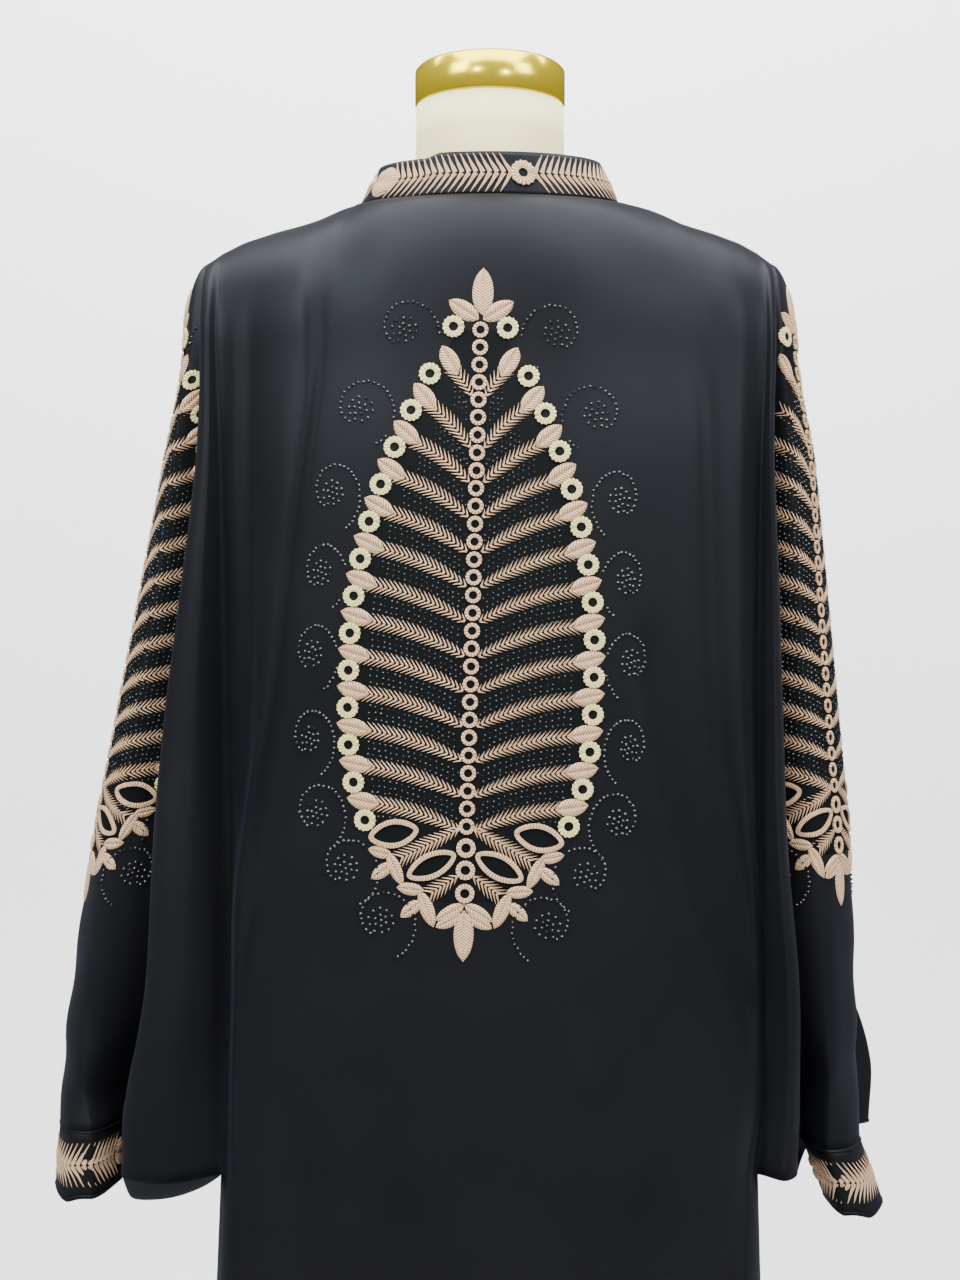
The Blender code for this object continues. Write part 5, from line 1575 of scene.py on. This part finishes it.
def dashes(node, points, length, gap, width=0.0007, rise=0.0004):
    """A row of single stitches along a line on a sheet."""
    places, directions = on_sheet(node, points)
    run = lengths_along(places)
    made, at = [], 0.0
    while at + length < run[-1]:
        ends = []
        for part in (0.0, 0.5, 1.0):
            k = min(max(bisect.bisect_right(run, at + length * part) - 1, 0), len(run) - 2)
            share = (at + length * part - run[k]) / max(run[k + 1] - run[k], 1e-9)
            ends.append((places[k].lerp(places[k + 1], share), directions[k]))
        made.append(welt([end[0] for end in ends], [end[1] for end in ends], width, rise))
        at += length + gap
    return made


# %% The seams
ARMHOLE_WELT = (0.0022, 0.0007)
POUCH_WELT = (0.0026, 0.0009)
# Welts round a cuff as (place from its seam to its edge, width, rise)
CUFF_WELTS = ((0.03, 0.0022, 0.0008), (0.96, 0.0018, 0.0006))
for side in SIDES:
    made = []
    for part, column, node in (("back", -1, "back_panel"), ("front", 0, "front_panel_" + side)):
        edge = [row[column] for row in sides[side][part] if row[column].z > PINCH_HEIGHT]
        made.append(sheet_welt(node, edge, *ARMHOLE_WELT))
    made.append(sheet_welt("front_panel_" + side, sides[side]["pouch"][0], *POUCH_WELT))
    seam_ring, edge_ring = wrist_bands[side]
    for share, width, rise in CUFF_WELTS:
        ring = [top.lerp(foot, share) for top, foot in zip(seam_ring, edge_ring)]
        made.append(sheet_welt("cuff_" + side, ring, width, rise))
    shown_piece("seams_" + side, joined(made), CREPE, "abaya_cloth")

# %% Top-stitching below the collar and at the hem
COLLAR_STITCH_DROP = 0.006
COLLAR_STITCH_FIRST = 0.01
STITCH_LENGTH, STITCH_GAP = 0.0026, 0.0012
HEM_STITCH_RISE = 0.020
HEM_WELT = (0.0014, 0.0005)
below_collar = [foot + (foot - top).normalized() * COLLAR_STITCH_DROP
                for top, foot in zip(collar_tops, collar_feet) if foot.y > COLLAR_STITCH_FIRST]
stitches = dashes("back_panel", below_collar, STITCH_LENGTH, STITCH_GAP)
hem_rows = {"back_panel": across_both("back_skirt")[-1]}
for side in SIDES:
    hem_rows["front_panel_" + side] = sides[side]["front_skirt"][-1]
hem_welts = []
for node, row in hem_rows.items():
    raised = [point + Vector((0, 0, HEM_STITCH_RISE)) for point in row]
    hem_welts.append(sheet_welt(node, raised, *HEM_WELT))
shown_piece("collar_stitches", joined(stitches), BLACK_THREAD, "abaya_cloth")
shown_piece("hem_stitches", joined(hem_welts), BLACK_THREAD, "abaya_cloth")

# %% [markdown]
# ## The dress form and its stand
# The form is a smooth body without limbs under a linen cover, and a gold cap closes its neck. A copy of the
# solid's mesh is merged and subdivided, because its loose triangles would show as facets on so pale a cloth.

# %% Form, cap, pole and base
SOLID_WELD_DISTANCE = 1e-5
JOIN_FACE_ANGLE = math.radians(30)
JOIN_SHAPE_ANGLE = math.radians(50)
CREASE_ANGLE = math.radians(40)


def smooth_copy(node, name, look, slot, levels):
    """A piece with the solid's own shape, in square faces, with its sharp edges kept sharp."""
    made = bmesh.new()
    made.from_mesh(bpy.data.objects[node].data)
    bmesh.ops.remove_doubles(made, verts=made.verts, dist=SOLID_WELD_DISTANCE)
    bmesh.ops.join_triangles(made, faces=made.faces, angle_face_threshold=JOIN_FACE_ANGLE,
                             angle_shape_threshold=JOIN_SHAPE_ANGLE)
    crease = made.edges.layers.float.new("crease_edge")
    for edge in made.edges:
        if edge.calc_face_angle(0) > CREASE_ANGLE:
            edge.smooth = False
            edge[crease] = 1.0
    piece = shown_piece(name, made, look, slot, node)
    if levels:
        smooth = piece.modifiers.new("smooth", "SUBSURF")
        smooth.levels = smooth.render_levels = levels


smooth_copy("form_body", "linen_form", LINEN, "form_linen", 1)
smooth_copy("neck_cap", "gold_cap", GOLD, "cap_gold", 0)
smooth_copy("pole", "steel_pole", STEEL, "stand_steel", 0)
smooth_copy("base", "steel_base", STEEL, "stand_steel", 0)

# %% [markdown]

# %% [markdown]
# ## Room, light and camera
# The garment stands before a plain pale sweep. Broad soft lights keep the black cloth readable, and small
# ones give the stones their glints. The camera looks straight at the back, from the photograph's distance.

# %% The sweep
SWEEP_DEPTH = -1.6
SWEEP_HALF_WIDTH = 4.0
SWEEP_FRONT = 4.0
SWEEP_HEIGHT = 4.0
SWEEP_ROUND = 0.8
SWEEP_STEPS = 12


def sweep_look():
    look = Look("pale_sweep", Roughness=0.9, Specular_IOR_Level=0.2)
    tone = look.noise(look.place(), 0.8)
    look.drive("Base Color", look.mixed(tone, (0.86, 0.86, 0.855), (0.91, 0.91, 0.905)))
    return look.material


profile = [(SWEEP_FRONT, 0.0), (SWEEP_DEPTH + SWEEP_ROUND, 0.0)]
for k in range(1, SWEEP_STEPS + 1):
    angle = math.pi / 2 * k / SWEEP_STEPS
    profile.append((SWEEP_DEPTH + SWEEP_ROUND * (1 - math.sin(angle)), SWEEP_ROUND * (1 - math.cos(angle))))
profile.append((SWEEP_DEPTH, SWEEP_HEIGHT))
sweep_rows = [[Vector((x, y, z)) for x in (-SWEEP_HALF_WIDTH, SWEEP_HALF_WIDTH)]
              for y, z in reversed(profile)]
sweep_mesh = bpy.data.meshes.new("sweep")
sweep_grid = cloth_grid(sweep_rows, True)
sweep_grid.to_mesh(sweep_mesh)
sweep_grid.free()
sweep_mesh.materials.append(sweep_look())
sweep_mesh.shade_smooth()
sweep = bpy.data.objects.new("sweep", sweep_mesh)
bpy.context.scene.collection.objects.link(sweep)
# The cloth doesn't mirror the pale wall at its edges, where real crepe would stay black
sweep.visible_glossy = False

# %% The lights
DAYLIGHT = (0.97, 0.985, 1.0)
WHITE = (1.0, 1.0, 1.0)
LIGHTS = (
    # Name, place, what it points at, size, power, colour
    ("ceiling", (0.0, 0.75, 3.0), (0.0, 0.05, 1.3), (2.6, 1.6), 136, WHITE),
    ("key_left", (2.1, 1.9, 2.7), (0.0, 0.0, 1.2), (1.2, 1.2), 66, DAYLIGHT),
    ("fill_right", (-2.3, 1.8, 2.6), (0.0, 0.0, 1.2), (1.2, 1.2), 54, DAYLIGHT),
    ("wall_wash", (0.0, -0.35, 2.9), (0.0, -1.9, 1.6), (3.6, 0.5), 115, WHITE),
    ("glint_left", (0.7, 2.0, 2.0), (0.0, 0.1, 1.1), (0.10, 0.10), 9, WHITE),
    ("glint_right", (-0.8, 1.9, 1.7), (0.0, 0.1, 1.1), (0.10, 0.10), 8, WHITE),
)
WORLD_COLOUR = (0.86, 0.90, 0.96, 1.0)
WORLD_STRENGTH = 0.18


def soft_light(name, place, target, size, power, colour):
    data = bpy.data.lights.new(name, "AREA")
    data.shape = "RECTANGLE"
    data.size, data.size_y = size
    data.energy = power
    data.color = colour
    light = bpy.data.objects.new(name, data)
    light.location = place
    light.rotation_euler = (Vector(target) - Vector(place)).to_track_quat("-Z", "Y").to_euler()
    bpy.context.scene.collection.objects.link(light)


for light in LIGHTS:
    soft_light(*light)
world = bpy.data.worlds.new("room")
world.use_nodes = True
background = world.node_tree.nodes["Background"]
background.inputs["Color"].default_value = WORLD_COLOUR
background.inputs["Strength"].default_value = WORLD_STRENGTH
bpy.context.scene.world = world
print("lights", len(LIGHTS))

# %% The camera
CAMERA_PLACE = (0.0078, 1.435, 1.109)
CAMERA_LENS = 52.03
camera_data = bpy.data.cameras.new("camera")
camera_data.lens = CAMERA_LENS
camera = bpy.data.objects.new("camera", camera_data)
camera.location = CAMERA_PLACE
camera.rotation_euler = (math.pi / 2, 0.0, math.pi)
bpy.context.scene.collection.objects.link(camera)
bpy.context.scene.camera = camera
print("camera at", CAMERA_PLACE)
